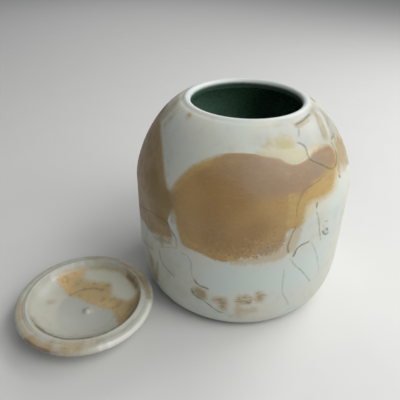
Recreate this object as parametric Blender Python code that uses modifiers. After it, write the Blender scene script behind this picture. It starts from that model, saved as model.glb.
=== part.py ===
"""A raku pottery jar with its dished lid set down on the table beside it.

The pot is wheel thrown, so every solid is a turned form: a named profile carried round
an axis. The jar stands on the origin, on the flat of its foot. +Z is up and +X points
away from the lid. All sizes are metres.

Three solids: the clay jar with its outer glaze, the dark glassy liner glaze that coats
its inside up to the glaze line under the lip, and the loose lid. The lid is a saucer:
a rounded edge, a shallow channel, a raised crest, a bowl with a flat floor and a low
nub in the middle. Its underside is a cone that centres itself in the jar's mouth.
"""
import math

import bpy
from mathutils import Vector
from mathutils.geometry import interpolate_bezier

MM = 0.001

# Jar: overall form
JAR_HEIGHT = 154.0 * MM
BODY_RADIUS = 80.4 * MM
FOOT_RADIUS = 60.0 * MM
WALL = 6.5 * MM
FLOOR = 8.0 * MM

# Jar: where the upright wall starts and ends, and how full the two curves are
WALL_START = 45.0 * MM
SHOULDER_START = 96.7 * MM
INNER_SHOULDER_START = 90.0 * MM
FOOT_FULLNESS_SHARES = (0.69, 0.31)
SHOULDER_FULLNESS_SHARES = (0.19, 0.65, 0.84)
INNER_FOOT_FULLNESS_SHARES = (0.67, 0.30)
INNER_SHOULDER_FULLNESS_SHARES = (0.42, 0.95, 0.50)
INNER_FLOOR_SHARE = 0.68

# Jar: mouth and lip
MOUTH_RADIUS = 39.5 * MM
LIP_THICKNESS = 5.6 * MM
LIP_END_ANGLE = math.radians(70.0)
NECK_DEPTH = 7.0 * MM

# Liner glaze: a coat on the inside, seated in a rebate under the glaze line
LINER_THICKNESS = 0.5 * MM
GLAZE_LINE_DEPTH = 5.6 * MM
SEAT_GAP = 0.3 * MM

# Lid: overall form
LID_RADIUS = 50.5 * MM
LID_HEIGHT = 21.2 * MM
LID_EDGE_THICKNESS = 6.0 * MM
LID_EDGE_DROP = 1.2 * MM
LID_EDGE_START_ANGLE = math.radians(110.0)
LID_FOOT_RADIUS = 23.5 * MM
LID_FOOT_BEVEL = 1.0 * MM

# Lid: crest, channel, bowl and nub
CREST_RADIUS = 41.8 * MM
CREST_WIDTH = 1.6 * MM
CHANNEL_RADIUS = 44.8 * MM
CREST_END_ANGLE = math.radians(45.0)
CHANNEL_DEPTH = 2.2 * MM
BOWL_WALL_DROP = 4.4 * MM
BOWL_WALL_LEAN = 1.3 * MM
BOWL_FLOOR_RADIUS = 22.0 * MM
BOWL_FLOOR_DEPTH = 13.6 * MM
BOWL_FLOOR_DISH = 2.0 * MM
BOWL_SLOPE_FULLNESS_SHARES = (0.33, 0.27, 0.93, 0.62)
BOWL_FLOOR_FULLNESS_SHARES = (0.5, 0.75, 0.5)
NUB_FULLNESS_SHARE = 0.5
NUB_RADIUS = 4.8 * MM
NUB_HEIGHT = 2.4 * MM

# Lid: underside, a cone that seats on the lip
SEAT_CONE_TOP_RADIUS = 43.0 * MM
SEAT_CONE_TOP_DEPTH = 8.4 * MM
SEAT_CONE_FULLNESS_SHARES = (0.30, 0.36, 0.70, 0.76)

# Where the lid lies on the table: its bearing from the jar, and how far it clears the belly
LID_BEARING = math.radians(208.1)
LID_PLAN_GAP = 1.5 * MM

# How finely the curves are cut
JAR_STEPS = 64
LID_STEPS = 64
SHOULDER_POINTS = 14
FOOT_POINTS = 9
INNER_SHOULDER_POINTS = 8
INNER_FOOT_POINTS = 7
LIP_POINTS = 5
LIP_OUTER_POINTS = 3
LID_EDGE_POINTS = 8
SLOPE_POINTS = 7
CONE_POINTS = 4
DISH_POINTS = 5
CREST_POINTS = 4
NUB_POINTS = 5
MERGE_DISTANCE = 0.02 * MM


def between(low, high, share):
    """The value that lies the given share of the way from low to high."""
    return low + (high - low) * share


def pulled(start, end, shares):
    """A curve's pull point: shares of the way from start to end, in radius and in height."""
    return between(start[0], end[0], shares[0]), between(start[1], end[1], shares[1])


def bezier(start, start_pull, end_pull, end, count):
    """Points along one cubic curve in the (radius, height) plane."""
    knots = [Vector((x, z, 0.0)) for x, z in (start, start_pull, end_pull, end)]
    return [(point.x, point.y) for point in interpolate_bezier(*knots, count)]


def arc(centre, radius, start_angle, end_angle, count):
    """Points along a round arc in the (radius, height) plane."""
    points = []
    for i in range(count):
        angle = between(start_angle, end_angle, i / (count - 1))
        points.append((centre[0] + radius * math.cos(angle), centre[1] + radius * math.sin(angle)))
    return points


def joined(*runs):
    """One outline from several runs of points, with repeated meeting points dropped."""
    outline = []
    for run in runs:
        for point in run:
            if not outline or math.dist(outline[-1], point) > MERGE_DISTANCE:
                outline.append(point)
    return outline


def offset(points, distance):
    """The outline moved sideways, to the right of the way it runs."""
    moved = []
    for i, point in enumerate(points):
        before = Vector(points[max(i - 1, 0)])
        after = Vector(points[min(i + 1, len(points) - 1)])
        along = (after - before).normalized()
        radius = point[0] + along.y * distance
        if point[0] == 0.0:
            radius = 0.0
        moved.append((radius, point[1] - along.x * distance))
    return moved


def outer_profile():
    """The jar's outside, from the lip down the shoulder and wall to the foot's centre."""
    lip_end = lip_profile()[-1]
    rise = lip_end[1] - SHOULDER_START
    reach = BODY_RADIUS - lip_end[0]
    wall_pull, lip_pull_reach, lip_pull_rise = SHOULDER_FULLNESS_SHARES
    shoulder = bezier(
        lip_end,
        (lip_end[0] + reach * lip_pull_reach, SHOULDER_START + rise * lip_pull_rise),
        (BODY_RADIUS, SHOULDER_START + rise * wall_pull),
        (BODY_RADIUS, SHOULDER_START), SHOULDER_POINTS)
    out_pull, up_pull = FOOT_FULLNESS_SHARES
    foot = bezier(
        (BODY_RADIUS, WALL_START),
        (BODY_RADIUS, WALL_START * up_pull),
        (between(FOOT_RADIUS, BODY_RADIUS, out_pull), 0.0),
        (FOOT_RADIUS, 0.0), FOOT_POINTS)
    return joined(shoulder, foot, [(FOOT_RADIUS / 2, 0.0), (0.0, 0.0)])


def lip_profile():
    """The round lip, from its inner side over the top to where the shoulder slopes off from it."""
    lip_radius = LIP_THICKNESS / 2
    lip_centre = (MOUTH_RADIUS + lip_radius, JAR_HEIGHT - lip_radius)
    inner_half = arc(lip_centre, lip_radius, math.pi, math.pi / 2, LIP_POINTS)
    outer_side = arc(lip_centre, lip_radius, math.pi / 2, LIP_END_ANGLE, LIP_OUTER_POINTS)
    return joined(inner_half, outer_side)


def inside_profile(top):
    """The finished inside, from the middle of the floor up the neck to the given height."""
    inner_radius = BODY_RADIUS - WALL
    floor_edge = inner_radius * INNER_FLOOR_SHARE
    out_pull, up_pull = INNER_FOOT_FULLNESS_SHARES
    corner = bezier(
        (floor_edge, FLOOR),
        (between(floor_edge, inner_radius, out_pull), FLOOR),
        (inner_radius, between(FLOOR, WALL_START, up_pull)),
        (inner_radius, WALL_START), INNER_FOOT_POINTS)
    neck_foot = (MOUTH_RADIUS, JAR_HEIGHT - NECK_DEPTH)
    reach = inner_radius - neck_foot[0]
    rise = neck_foot[1] - INNER_SHOULDER_START
    neck_reach, neck_rise, wall_pull = INNER_SHOULDER_FULLNESS_SHARES
    shoulder = bezier(
        (inner_radius, INNER_SHOULDER_START),
        (inner_radius, INNER_SHOULDER_START + rise * wall_pull),
        (neck_foot[0] + reach * neck_reach, INNER_SHOULDER_START + rise * neck_rise),
        neck_foot, INNER_SHOULDER_POINTS)
    return joined([(0.0, FLOOR), (floor_edge / 2, FLOOR)], corner, shoulder, [(MOUTH_RADIUS, top)])


def jar_profile():
    """The clay: inside with the rebate for the liner, glaze line, lip, outside and foot."""
    glaze_line = JAR_HEIGHT - GLAZE_LINE_DEPTH
    rebate = offset(inside_profile(glaze_line), LINER_THICKNESS + SEAT_GAP)
    return joined(rebate, [(MOUTH_RADIUS, glaze_line)], lip_profile(), outer_profile())


def liner_profile():
    """The liner's coat: its glassy face up the inside, then its back down against the clay."""
    face = inside_profile(JAR_HEIGHT - GLAZE_LINE_DEPTH - SEAT_GAP)
    back = offset(face, LINER_THICKNESS)
    return joined(face, reversed(back))


def lid_top_profile():
    """The lid's upper face, from the nub out over the bowl, crest and channel."""
    floor_break = (BOWL_FLOOR_RADIUS, LID_HEIGHT - BOWL_FLOOR_DEPTH)
    floor_middle = floor_break[1] - BOWL_FLOOR_DISH
    nub_pull = NUB_RADIUS * NUB_FULLNESS_SHARE
    nub = bezier(
        (0.0, floor_middle + NUB_HEIGHT),
        (nub_pull, floor_middle + NUB_HEIGHT),
        (nub_pull, floor_middle),
        (NUB_RADIUS, floor_middle), NUB_POINTS)
    flat_pull, break_pull, break_rise = BOWL_FLOOR_FULLNESS_SHARES
    dish = bezier(
        (NUB_RADIUS, floor_middle),
        (BOWL_FLOOR_RADIUS * flat_pull, floor_middle),
        (BOWL_FLOOR_RADIUS * break_pull, between(floor_middle, floor_break[1], break_rise)),
        floor_break, DISH_POINTS)
    crest_inside = CREST_RADIUS - CREST_WIDTH / 2
    wall_foot = (crest_inside - BOWL_WALL_LEAN, LID_HEIGHT - BOWL_WALL_DROP)
    slope = bezier(
        floor_break,
        pulled(floor_break, wall_foot, BOWL_SLOPE_FULLNESS_SHARES[:2]),
        pulled(floor_break, wall_foot, BOWL_SLOPE_FULLNESS_SHARES[2:]),
        wall_foot, SLOPE_POINTS)
    crest = arc((CREST_RADIUS, LID_HEIGHT - CREST_WIDTH / 2), CREST_WIDTH / 2,
                math.pi, CREST_END_ANGLE, CREST_POINTS)
    return joined(nub, dish, slope, crest)


def lid_edge_profile():
    """The channel outside the crest and the rounded edge of the lid."""
    edge_radius = LID_EDGE_THICKNESS / 2
    edge_top = LID_HEIGHT - LID_EDGE_DROP
    edge_centre = (LID_RADIUS - edge_radius, edge_top - edge_radius)
    channel = [(CHANNEL_RADIUS, LID_HEIGHT - CHANNEL_DEPTH)]
    edge = arc(edge_centre, edge_radius, LID_EDGE_START_ANGLE, -math.pi / 2, LID_EDGE_POINTS)
    return joined(channel, edge)


def lid_under_profile():
    """The underside: the seat cone down to the small flat foot."""
    cone_top = (SEAT_CONE_TOP_RADIUS, LID_HEIGHT - SEAT_CONE_TOP_DEPTH)
    cone_foot = (LID_FOOT_RADIUS + LID_FOOT_BEVEL, LID_FOOT_BEVEL)
    cone = bezier(
        cone_top,
        pulled(cone_top, cone_foot, SEAT_CONE_FULLNESS_SHARES[:2]),
        pulled(cone_top, cone_foot, SEAT_CONE_FULLNESS_SHARES[2:]),
        cone_foot, CONE_POINTS)
    foot = [(LID_FOOT_RADIUS, 0.0), (LID_FOOT_RADIUS / 2, 0.0), (0.0, 0.0)]
    return joined(cone, foot)


def lid_profile():
    """The whole lid, from the top of the nub to the middle of its foot."""
    return joined(lid_top_profile(), lid_edge_profile(), lid_under_profile())


def lid_place():
    """The middle of the lid's foot: on its bearing from the jar, just clear of the jar's belly."""
    reach = BODY_RADIUS + LID_PLAN_GAP + LID_RADIUS
    return reach * math.cos(LID_BEARING), reach * math.sin(LID_BEARING), 0.0


def glaze(name, colour, roughness):
    """A glazed ceramic surface."""
    material = bpy.data.materials.new(name)
    material.use_nodes = True
    shader = material.node_tree.nodes["Principled BSDF"]
    shader.inputs["Base Color"].default_value = (*colour, 1.0)
    shader.inputs["Roughness"].default_value = roughness
    shader.inputs["Metallic"].default_value = 0.0
    material.diffuse_color = (*colour, 1.0)
    return material


def turned(name, profile, steps, material, collection):
    """A solid of revolution: the profile as a line of edges, carried round by a Screw."""
    mesh = bpy.data.meshes.new(name)
    vertices = [(radius, 0.0, height) for radius, height in profile]
    edges = [(i, i + 1) for i in range(len(profile) - 1)]
    mesh.from_pydata(vertices, edges, [])
    mesh.materials.append(material)
    solid = bpy.data.objects.new(name, mesh)
    collection.objects.link(solid)
    screw = solid.modifiers.new("Turned on the wheel", "SCREW")
    screw.axis = "Z"
    screw.angle = math.tau
    screw.steps = steps
    screw.render_steps = steps
    screw.use_merge_vertices = True
    screw.merge_threshold = MERGE_DISTANCE
    screw.use_smooth_shade = True
    return solid


def empty(name, location, collection):
    """A named frame that solids are parented to."""
    frame = bpy.data.objects.new(name, None)
    frame.empty_display_size = FOOT_RADIUS
    frame.location = location
    collection.objects.link(frame)
    return frame


def clear_scene():
    """Take out whatever the opened file holds."""
    for thing in list(bpy.data.objects):
        bpy.data.objects.remove(thing, do_unlink=True)


def build():
    clear_scene()
    pottery = bpy.data.collections.new("raku_pottery_jar")
    bpy.context.scene.collection.children.link(pottery)

    celadon = glaze("celadon_glaze", (0.56, 0.59, 0.55), 0.38)
    bottle_green = glaze("bottle_green_liner", (0.035, 0.075, 0.055), 0.16)
    lid_celadon = glaze("lid_celadon_glaze", (0.52, 0.54, 0.49), 0.38)

    jar_stand = empty("jar_stand", (0.0, 0.0, 0.0), pottery)
    jar = turned("jar_body", jar_profile(), JAR_STEPS, celadon, pottery)
    jar.parent = jar_stand
    liner = turned("liner_glaze", liner_profile(), JAR_STEPS, bottle_green, pottery)
    liner.parent = jar_stand

    lid_lift = empty("lid_lift", lid_place(), pottery)
    lid = turned("lid", lid_profile(), LID_STEPS, lid_celadon, pottery)
    lid.parent = lid_lift


build()
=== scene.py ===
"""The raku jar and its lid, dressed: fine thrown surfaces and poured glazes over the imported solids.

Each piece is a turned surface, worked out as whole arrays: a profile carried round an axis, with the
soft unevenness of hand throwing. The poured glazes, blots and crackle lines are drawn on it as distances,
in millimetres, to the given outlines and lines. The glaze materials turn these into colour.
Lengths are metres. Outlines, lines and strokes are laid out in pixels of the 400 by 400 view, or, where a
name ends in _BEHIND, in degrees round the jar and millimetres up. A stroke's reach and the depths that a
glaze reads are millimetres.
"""
from math import cos, pi, radians, sin, tau

import bpy
import numpy as np
from mathutils import Matrix, Vector


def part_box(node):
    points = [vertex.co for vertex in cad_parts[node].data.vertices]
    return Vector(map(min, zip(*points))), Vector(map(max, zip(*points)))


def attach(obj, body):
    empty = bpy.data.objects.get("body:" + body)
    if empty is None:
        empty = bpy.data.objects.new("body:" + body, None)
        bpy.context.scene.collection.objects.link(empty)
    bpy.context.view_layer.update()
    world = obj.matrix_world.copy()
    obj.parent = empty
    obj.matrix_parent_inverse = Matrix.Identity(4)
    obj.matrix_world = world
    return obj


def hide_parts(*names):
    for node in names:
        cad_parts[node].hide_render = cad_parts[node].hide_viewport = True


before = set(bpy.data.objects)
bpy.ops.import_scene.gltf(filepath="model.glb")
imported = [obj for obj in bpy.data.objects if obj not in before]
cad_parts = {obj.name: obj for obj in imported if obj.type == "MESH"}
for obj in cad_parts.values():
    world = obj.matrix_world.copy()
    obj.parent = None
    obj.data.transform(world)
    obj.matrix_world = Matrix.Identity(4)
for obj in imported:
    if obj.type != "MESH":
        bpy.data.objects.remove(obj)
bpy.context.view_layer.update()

MM = 0.001

# What the frame gives
jar_low, jar_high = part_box("jar_body")
lid_low, lid_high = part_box("lid")
JAR_HEIGHT = jar_high.z
BODY_RADIUS = jar_high.x
LID_HEIGHT = lid_high.z
LID_RADIUS = (lid_high.x - lid_low.x) / 2
LID_CENTRE = ((lid_low.x + lid_high.x) / 2, (lid_low.y + lid_high.y) / 2)

# Jar: the profile's own sizes, as the solid has them
FOOT_RADIUS = 60.0 * MM
WALL = 6.5 * MM
FLOOR = 8.0 * MM
WALL_START = 45.0 * MM
SHOULDER_START = 96.7 * MM
INNER_SHOULDER_START = 90.0 * MM
FOOT_FULLNESS_SHARES = (0.69, 0.31)
SHOULDER_FULLNESS_SHARES = (0.19, 0.65, 0.84)
INNER_FOOT_FULLNESS_SHARES = (0.67, 0.30)
INNER_SHOULDER_FULLNESS_SHARES = (0.42, 0.95, 0.50)
INNER_FLOOR_SHARE = 0.68
MOUTH_RADIUS = 39.5 * MM
LIP_THICKNESS = 5.6 * MM
LIP_END_ANGLE = radians(70.0)
NECK_DEPTH = 7.0 * MM
LINER_THICKNESS = 0.5 * MM
GLAZE_LINE_DEPTH = 5.6 * MM
SEAT_GAP = 0.3 * MM

# Lid: the profile's own sizes, as the solid has them
LID_EDGE_THICKNESS = 6.0 * MM
LID_EDGE_DROP = 1.2 * MM
LID_EDGE_START_ANGLE = radians(110.0)
LID_FOOT_RADIUS = 23.5 * MM
LID_FOOT_BEVEL = 1.0 * MM
CREST_RADIUS = 41.8 * MM
CREST_WIDTH = 1.6 * MM
CHANNEL_RADIUS = 44.8 * MM
CREST_END_ANGLE = radians(45.0)
CHANNEL_DEPTH = 2.2 * MM
BOWL_WALL_DROP = 4.4 * MM
BOWL_WALL_LEAN = 1.3 * MM
BOWL_FLOOR_RADIUS = 22.0 * MM
BOWL_FLOOR_DEPTH = 13.6 * MM
BOWL_FLOOR_DISH = 2.0 * MM
BOWL_SLOPE_FULLNESS_SHARES = (0.33, 0.27, 0.93, 0.62)
BOWL_FLOOR_FULLNESS_SHARES = (0.5, 0.75, 0.5)
NUB_FULLNESS_SHARE = 0.5
NUB_RADIUS = 4.8 * MM
NUB_HEIGHT = 2.4 * MM
SEAT_CONE_TOP_RADIUS = 43.0 * MM
SEAT_CONE_TOP_DEPTH = 8.4 * MM
SEAT_CONE_FULLNESS_SHARES = (0.30, 0.36, 0.70, 0.76)

# How finely the surfaces are cut
CURVE_POINTS = 160
JAR_COLUMNS = 420
LINER_COLUMNS = 220
LID_COLUMNS = 340
FINE_STEP = 1.12 * MM
LIP_STEP = 0.55 * MM
HIDDEN_STEP = 6.0 * MM
LINER_STEP = 2.4 * MM
LID_STEP = 0.62 * MM
LID_UNDER_STEP = 1.6 * MM
OUTLINE_STEP = 1.6 * MM
EDGE_STEP = 0.25 * MM
SAME_POINT = 1e-7
SOFT_POINTS = 12
FLOOR_REACH = 6.0

# The photographer's view
FRAME_PX = 400
FOCAL_PX = 454.9
SENSOR_WIDTH_MM = 36.0
EYE = Vector((-31.9, -310.1, 262.2)) * MM
LOOK_DOWN = radians(32.14)
ROLL = radians(0.6)
VIEW_TURN = Matrix.Rotation(pi / 2 - LOOK_DOWN, 3, "X") @ Matrix.Rotation(ROLL, 3, "Z")

# The jar's poured glazes: outlines in pixels of the view, and behind the jar as (degrees, mm up)
TAN_POUR_PX = (
    (168, 196), (171, 190), (176, 182), (182, 175), (190, 167.5), (198, 163.2), (207, 159.4), (218, 155.2),
    (230, 152.9), (250, 153), (268, 156), (280.7, 158), (287.9, 162.7), (294, 164), (300.4, 162.7),
    (308, 157.5), (313, 151.5), (319, 147), (326, 143.8), (331, 146), (335, 152), (337, 160), (336.5, 170),
    (335, 181), (332, 190), (326, 196), (318, 199.5), (311, 202.5), (307, 208), (305.5, 216), (303.5, 223),
    (299, 228), (292, 229.4), (287, 233), (285.6, 240), (281.6, 247.4), (276, 252.6), (268, 256),
    (258, 257.6), (247, 258.6), (239, 260.4), (232, 262), (224, 262.3), (216, 261), (208, 257.5),
    (200, 253.5), (191, 249.5), (184.4, 246), (180.8, 240), (178.4, 232), (176, 223), (174.6, 215),
    (172.4, 209), (170, 204))
UMBER_POUR_PX = (
    (141, 217.5), (144, 222), (147.5, 228), (152, 232.5), (158, 235.5), (165, 238), (172, 240), (172.4, 234),
    (169.6, 227), (168, 221), (170.4, 214), (175, 208.4), (177.4, 199), (174, 193), (168.6, 188),
    (165.6, 178), (164.2, 165), (163.2, 153), (162, 140), (161, 128), (160.6, 120), (162, 114), (165, 109.5))
UMBER_POUR_BEHIND = ((-190, 145), (-206, 138), (-222, 118), (-226, 92), (-212, 74), (-192, 66), (-174, 65))
OCHRE_LOBE_PX = (
    (345.4, 166), (341, 167), (337.4, 163), (336.6, 153), (334.8, 146), (335, 141), (337.6, 136.8))
OCHRE_LOBE_BEHIND = ((-6, 127), (10, 124), (30, 110), (34, 92), (16, 90), (-4, 102), (-14, 110))
BACK_POUR_BEHIND = (
    (62, 116), (80, 124), (100, 120), (122, 98), (128, 76), (116, 52), (94, 40), (70, 48), (54, 70), (50, 96))

# Blots and laps, in pixels of the view, and behind the jar as (degrees, mm up)
BLOTS_PX = (
    ((191.4, 288.4), (195.6, 286.6), (201, 288), (206, 291), (207.6, 295.4), (206, 299.6), (200.6, 299.4),
     (195.4, 296), (191.8, 292.4)),
    ((212.6, 299), (217, 296.4), (223, 297), (227, 300.4), (227.4, 306), (224.4, 310.4), (219, 308.6),
     (215.6, 303)),
    ((237.4, 296), (243, 294.6), (250, 295.6), (252.4, 300), (249, 304), (242, 304.8), (236.6, 304.6),
     (235.4, 300)),
    ((255.6, 294.4), (259, 291.4), (263, 292.4), (265, 297.5), (262.6, 302.4), (258, 303), (255.4, 299)),
    ((186.5, 115.5), (189, 113), (191.5, 114), (190.5, 118), (187.5, 119.5)))
BLOTS_BEHIND = (
    ((28, 36), (34, 38), (38, 34), (33, 29), (27, 31)),
    ((140, 30), (149, 33), (156, 29), (150, 24), (141, 25)),
    ((88, 132), (96, 134), (99, 130), (91, 128)))
SMEAR_PX = (
    (261, 146), (268, 141), (277, 137), (286, 135.5), (293, 139), (296, 146), (294, 153), (284, 153),
    (272, 149))
CREAM_LAP_PX = (
    (256, 151), (270, 149.6), (283, 149), (296, 147.6), (304.6, 148.6), (308, 155), (301.8, 162.4),
    (294, 164.8), (287.4, 163.2), (280.4, 158.2), (270, 156.6), (258, 154.6))

# Crackle lines, each a strength and pixels of the view, in three lots, so that no two lines of a lot lie
# side by side
CRACKLE_PX = (
    # This first line runs along the crease at the lip's right, where its dark is painted shade
    ((0.5, ((295.4, 124.4), (299, 122.2), (303, 119.4), (306, 116.6), (308.5, 113.5))),
     (0.8, ((309.5, 159.4), (315, 162.4), (322, 165.2), (329, 168.4), (334, 167.8), (336.2, 163),
      (336.6, 157), (334.6, 149.5), (331.5, 143))),
     (0.5, ((320, 180), (313, 185), (307, 188), (303.5, 191.5), (300.5, 198), (297.5, 206), (296.5, 216))),
     (0.55, ((343.2, 208.2), (341.5, 216), (339.6, 224.3))),
     (1.0, ((293.4, 256.8), (295.6, 252), (298.2, 248), (302.5, 245), (308.4, 242.2))),
     (0.3, ((283.7, 270.6), (283.7, 275.5), (282.3, 286.8), (282.6, 294.5), (286.1, 299.4), (288.2, 305))),
     (0.95, ((165.5, 219.5), (168.7, 225), (171.5, 231.5), (175.6, 238), (176.2, 246))),
     (1.0, ((193.6, 279.5), (196, 283.2), (199.5, 285.8), (204, 287.4), (207.5, 289))),
     (0.4, ((240, 303.5), (246, 304), (250, 301.5)))),
    ((0.4, ((298.7, 130.2), (298.8, 133), (298.3, 136.4))), (0.8, ((317.4, 203), (316.5, 207.2))),
     (0.6, ((316.4, 212.5), (318.6, 219.5), (319.2, 226), (320.6, 240))),
     (0.8, ((295.2, 227.6), (292.4, 233.6), (290.6, 238.2), (287.6, 247), (288.2, 253))),
     (0.5, ((290.2, 259.2), (294.6, 265.2), (301, 270.8), (306, 276), (309.6, 281.4))),
     (0.35, ((158.9, 246.8), (168, 247.5), (176.4, 247.8))),
     (0.9, ((191.6, 289), (192.2, 292.4), (196, 296), (202, 299.6), (210.8, 306.4), (217.5, 311),
      (222, 312.6))),
     (0.35, ((181, 252.8), (187, 256), (190.6, 263), (190.9, 272), (193, 279))),
     (0.6, ((319.6, 108.6), (323.8, 114.4), (327.4, 120.4), (328.8, 126))),
     (0.8, ((331.6, 139.6), (333.2, 136.6), (334.2, 133.4))), (0.5, ((250, 297), (253.5, 299), (256, 300.5))),
     (0.6, ((262, 295.2), (267, 295.4)))),
    ((0.8, ((297.9, 143), (302.4, 144.6), (305.5, 147.4), (307.4, 152.6), (309.2, 158.4))),
     (0.9, ((322.8, 231.4), (324, 233.8), (326.4, 234.2), (328.2, 232.6))),
     (1.0, ((326.4, 228.4), (327.2, 230))), (0.5, ((325.5, 221.8), (328, 221.2))),
     (1.0, ((339, 175.8), (340, 177.2))),
     (0.7, ((159.4, 250), (160, 256), (163, 264), (168, 270), (174.3, 277))),
     (0.75, ((140, 205), (150, 211), (160, 217), (166, 221))),
     (0.7, ((142.7, 239.7), (147, 244.5), (152.8, 249.4))),
     (0.35, ((311.4, 242.2), (313.4, 246.4), (316, 253), (318.2, 262.9), (318.4, 270.6))),
     (0.6, ((320.6, 128.4), (321.6, 131.6))), (0.7, ((310.4, 97), (313, 99.6), (315, 101.2)))))

# Soft strokes of other tones, and of painted highlight and painted shade: a reach in millimetres, a strength,
# and the pixels each one runs through
DEEP_STROKES = (
    (15, 0.9, ((226, 190), (218, 212))), (10, 0.7, ((212, 240), (236, 246), (250, 238))),
    (9, 0.5, ((262, 226),)), (8, 0.4, ((204, 178),)), (10, 0.55, ((241, 170), (247, 196))),
    (9, 1.1, ((153, 178), (157, 200), (160, 215))), (5, 0.9, ((166, 198), (170, 206))))
GOLDEN_STROKES = (
    (7, 1.1, ((320, 188), (328, 184), (331, 177))), (6, 0.9, ((318, 195), (308, 200))),
    (5, 0.7, ((335, 172), (334, 186))), (5, 0.7, ((302, 206), (301, 222))),
    (3.4, 1.0, ((292, 198), (293, 212), (290, 224))),
    (3, 0.8, ((176, 187), (184, 177.5), (194, 169), (206, 162.4))),
    (4, 0.7, ((180, 230), (186, 241), (194, 246))), (2.6, 0.8, ((227, 257), (232, 260))),
    (2.6, 0.8, ((310, 151), (317, 147.6))), (4, 0.8, ((307, 206), (312, 204), (308, 214))),
    (6, 0.35, ((214, 162), (236, 158))))
SMOKY_STROKES = (
    (8, 0.9, ((310, 156), (317, 162), (316, 170))), (6, 0.6, ((330, 163), (331, 176))),
    (6, 0.8, ((262, 252), (276, 248), (284, 241))), (5, 0.6, ((258, 260), (272, 259), (284, 254))))
# Olive tones of the glaze, and painted shade: the strokes along the fold grooves on the right of the
# shoulder, the faint line under the lip and the crease at its right
OLIVE_AND_SHADE_STROKES = (
    (3.4, 1.0, ((162, 110), (167, 103), (173, 97), (179, 92), (184, 89.5))),
    (6, 0.8, ((164, 116), (171, 108), (178, 100))), (4, 0.5, ((168, 122), (176, 112))),
    (2.2, 0.3, ((164.5, 124), (165.5, 140), (166.5, 155), (168, 170), (169, 183))),
    (6, 0.45, ((160.5, 114), (164, 109), (169, 103), (175, 97.5))),
    (2.6, 0.8, ((156, 238), (163, 240), (170, 243))),
    (4.2, 0.62, ((316.6, 114), (320.4, 124), (324, 133.5), (325.6, 139))),
    (3.4, 0.5, ((318, 116), (322, 126), (325, 134))), (5, 0.35, ((210, 309), (225, 314), (240, 318))),
    (3.8, 0.66, ((325, 113), (328.6, 121.6), (331.4, 130.7), (333, 136))),
    (3.4, 0.5, ((333, 119), (336, 127), (338.6, 134))), (2.6, 0.45, ((331, 116), (335, 124), (338, 132))),
    (2.4, 0.7, ((171, 212), (172, 222))), (2.2, 0.8, ((297, 125.5), (302, 123), (307, 120))),
    (2.4, 0.8, ((157.6, 264), (157, 274), (156, 281))), (2, 0.5, ((192, 292), (197, 297), (203, 299))),
    (4, 0.3, ((171, 196), (174, 205))), (3.4, 0.85, ((177, 214), (179.5, 229), (184, 243))),
    (2, 0.4, ((153, 237), (153.6, 243))), (2.4, 0.6, ((161, 237), (162, 245))),
    (4, 0.4, ((147, 236), (149, 250), (152, 262))),
    (5, 0.6, ((152, 260), (154, 274), (158, 288), (163, 297))),
    (1.6, 0.35, ((256, 126.9), (270, 126.2), (283, 124.6), (292, 122.8))),
    (3, 0.5, ((296, 125), (301, 122), (306, 118), (311, 111), (313, 103))))
# Beige tones of the glaze, and a painted highlight: the long stroke down the fold ridge from (330, 139)
BEIGE_AND_HIGHLIGHT_STROKES = (
    (2.6, 0.9, ((334, 131), (338, 137), (341, 142))), (2.6, 0.6, ((310, 147), (315, 145), (322, 142.6))),
    (2.4, 0.9, ((330, 139), (333, 146), (336.5, 153), (338, 162), (339.5, 171))),
    (5, 1.0, ((236, 261.4), (248, 260.4), (262, 259.8), (274, 257.4))),
    (4.6, 0.8, ((280, 254.4), (286, 249), (288, 240))), (3, 0.6, ((291, 232), (298, 231))),
    (6, 0.8, ((243, 311.5), (247, 312), (252, 310.5))), (2.6, 0.5, ((237, 306), (237.6, 316))),
    (2.4, 0.5, ((262, 297), (258, 301))), (3.6, 0.9, ((299, 230), (297, 239), (293, 249))),
    (3, 0.5, ((284, 254), (288, 246))), (1.8, 0.5, ((336.4, 167), (338.4, 172), (340.8, 176))),
    (2.0, 0.5, ((340, 148), (342, 162), (343, 172))), (3, 0.4, ((304, 122), (310, 117))),
    (2.6, 0.4, ((324.5, 226), (330, 233))))
ROSY_STROKES = (
    (9, 1.0, ((266, 171), (288, 175), (312, 171))), (14, 0.6, ((226, 166), (250, 170), (262, 172))),
    (6, 0.9, ((317, 157), (330, 157))), (3.4, 0.8, ((321, 149.4), (327, 147.4), (331, 149.6))),
    (9, 0.5, ((256, 187), (286, 189), (306, 182))), (5, 0.3, ((232, 160), (250, 158))),
    (6, 0.6, ((328, 160), (328, 170))))
SOFT_STROKES = (
    (4, 0.9, ((308, 204), (305, 215), (300, 229), (290, 235), (285, 247), (276, 254), (258, 257))),
    (5, 1.2, ((161, 116), (165, 109))), (6, 1.2, ((336, 178), (333, 191), (326, 198), (316, 202))),
    (4, 0.75, ((171, 191), (177, 182), (186, 172), (196, 164.5), (206, 160), (218, 155.6))),
    (3.4, 0.6, ((174, 210), (177, 220), (180, 234), (183, 243))),
    (3.6, 0.7, ((164, 112), (161, 124), (161, 140), (163, 155), (164, 170), (165, 187))),
    (5, 1.0, ((143, 226), (150, 231), (158, 235), (166, 238), (172, 238))),
    (4, 0.5, ((230, 262), (240, 260), (250, 258))),
    (2.4, 0.25, ((185, 245), (200, 253), (216, 261), (230, 263))),
    (2, 0.3, ((262, 155), (275, 157), (285, 160))), (4, 0.8, ((175, 210), (178, 200), (175, 192))),
    (4, 0.6, ((310, 155), (316, 149), (323, 145))),
    (3, 0.8, ((335.4, 139), (335.4, 146), (337, 155), (339, 166), (345, 167))),
    (3, 0.5, ((322, 146), (330, 146), (334, 151))), (8, 0.9, ((339, 137.6), (342, 139))),
    (8, 0.9, ((339, 167), (345, 167))))
RAGGED_STROKES = (
    (8, 1.0, ((232, 257), (250, 256), (266, 252), (280, 248))),
    (5, 1.0, ((146, 230), (156, 234), (168, 237))), (4, 0.7, ((301, 231), (292, 244))),
    (5, 0.5, ((200, 251), (216, 256))), (12, 0.5, ((215, 240), (240, 243), (266, 238))))
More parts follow.
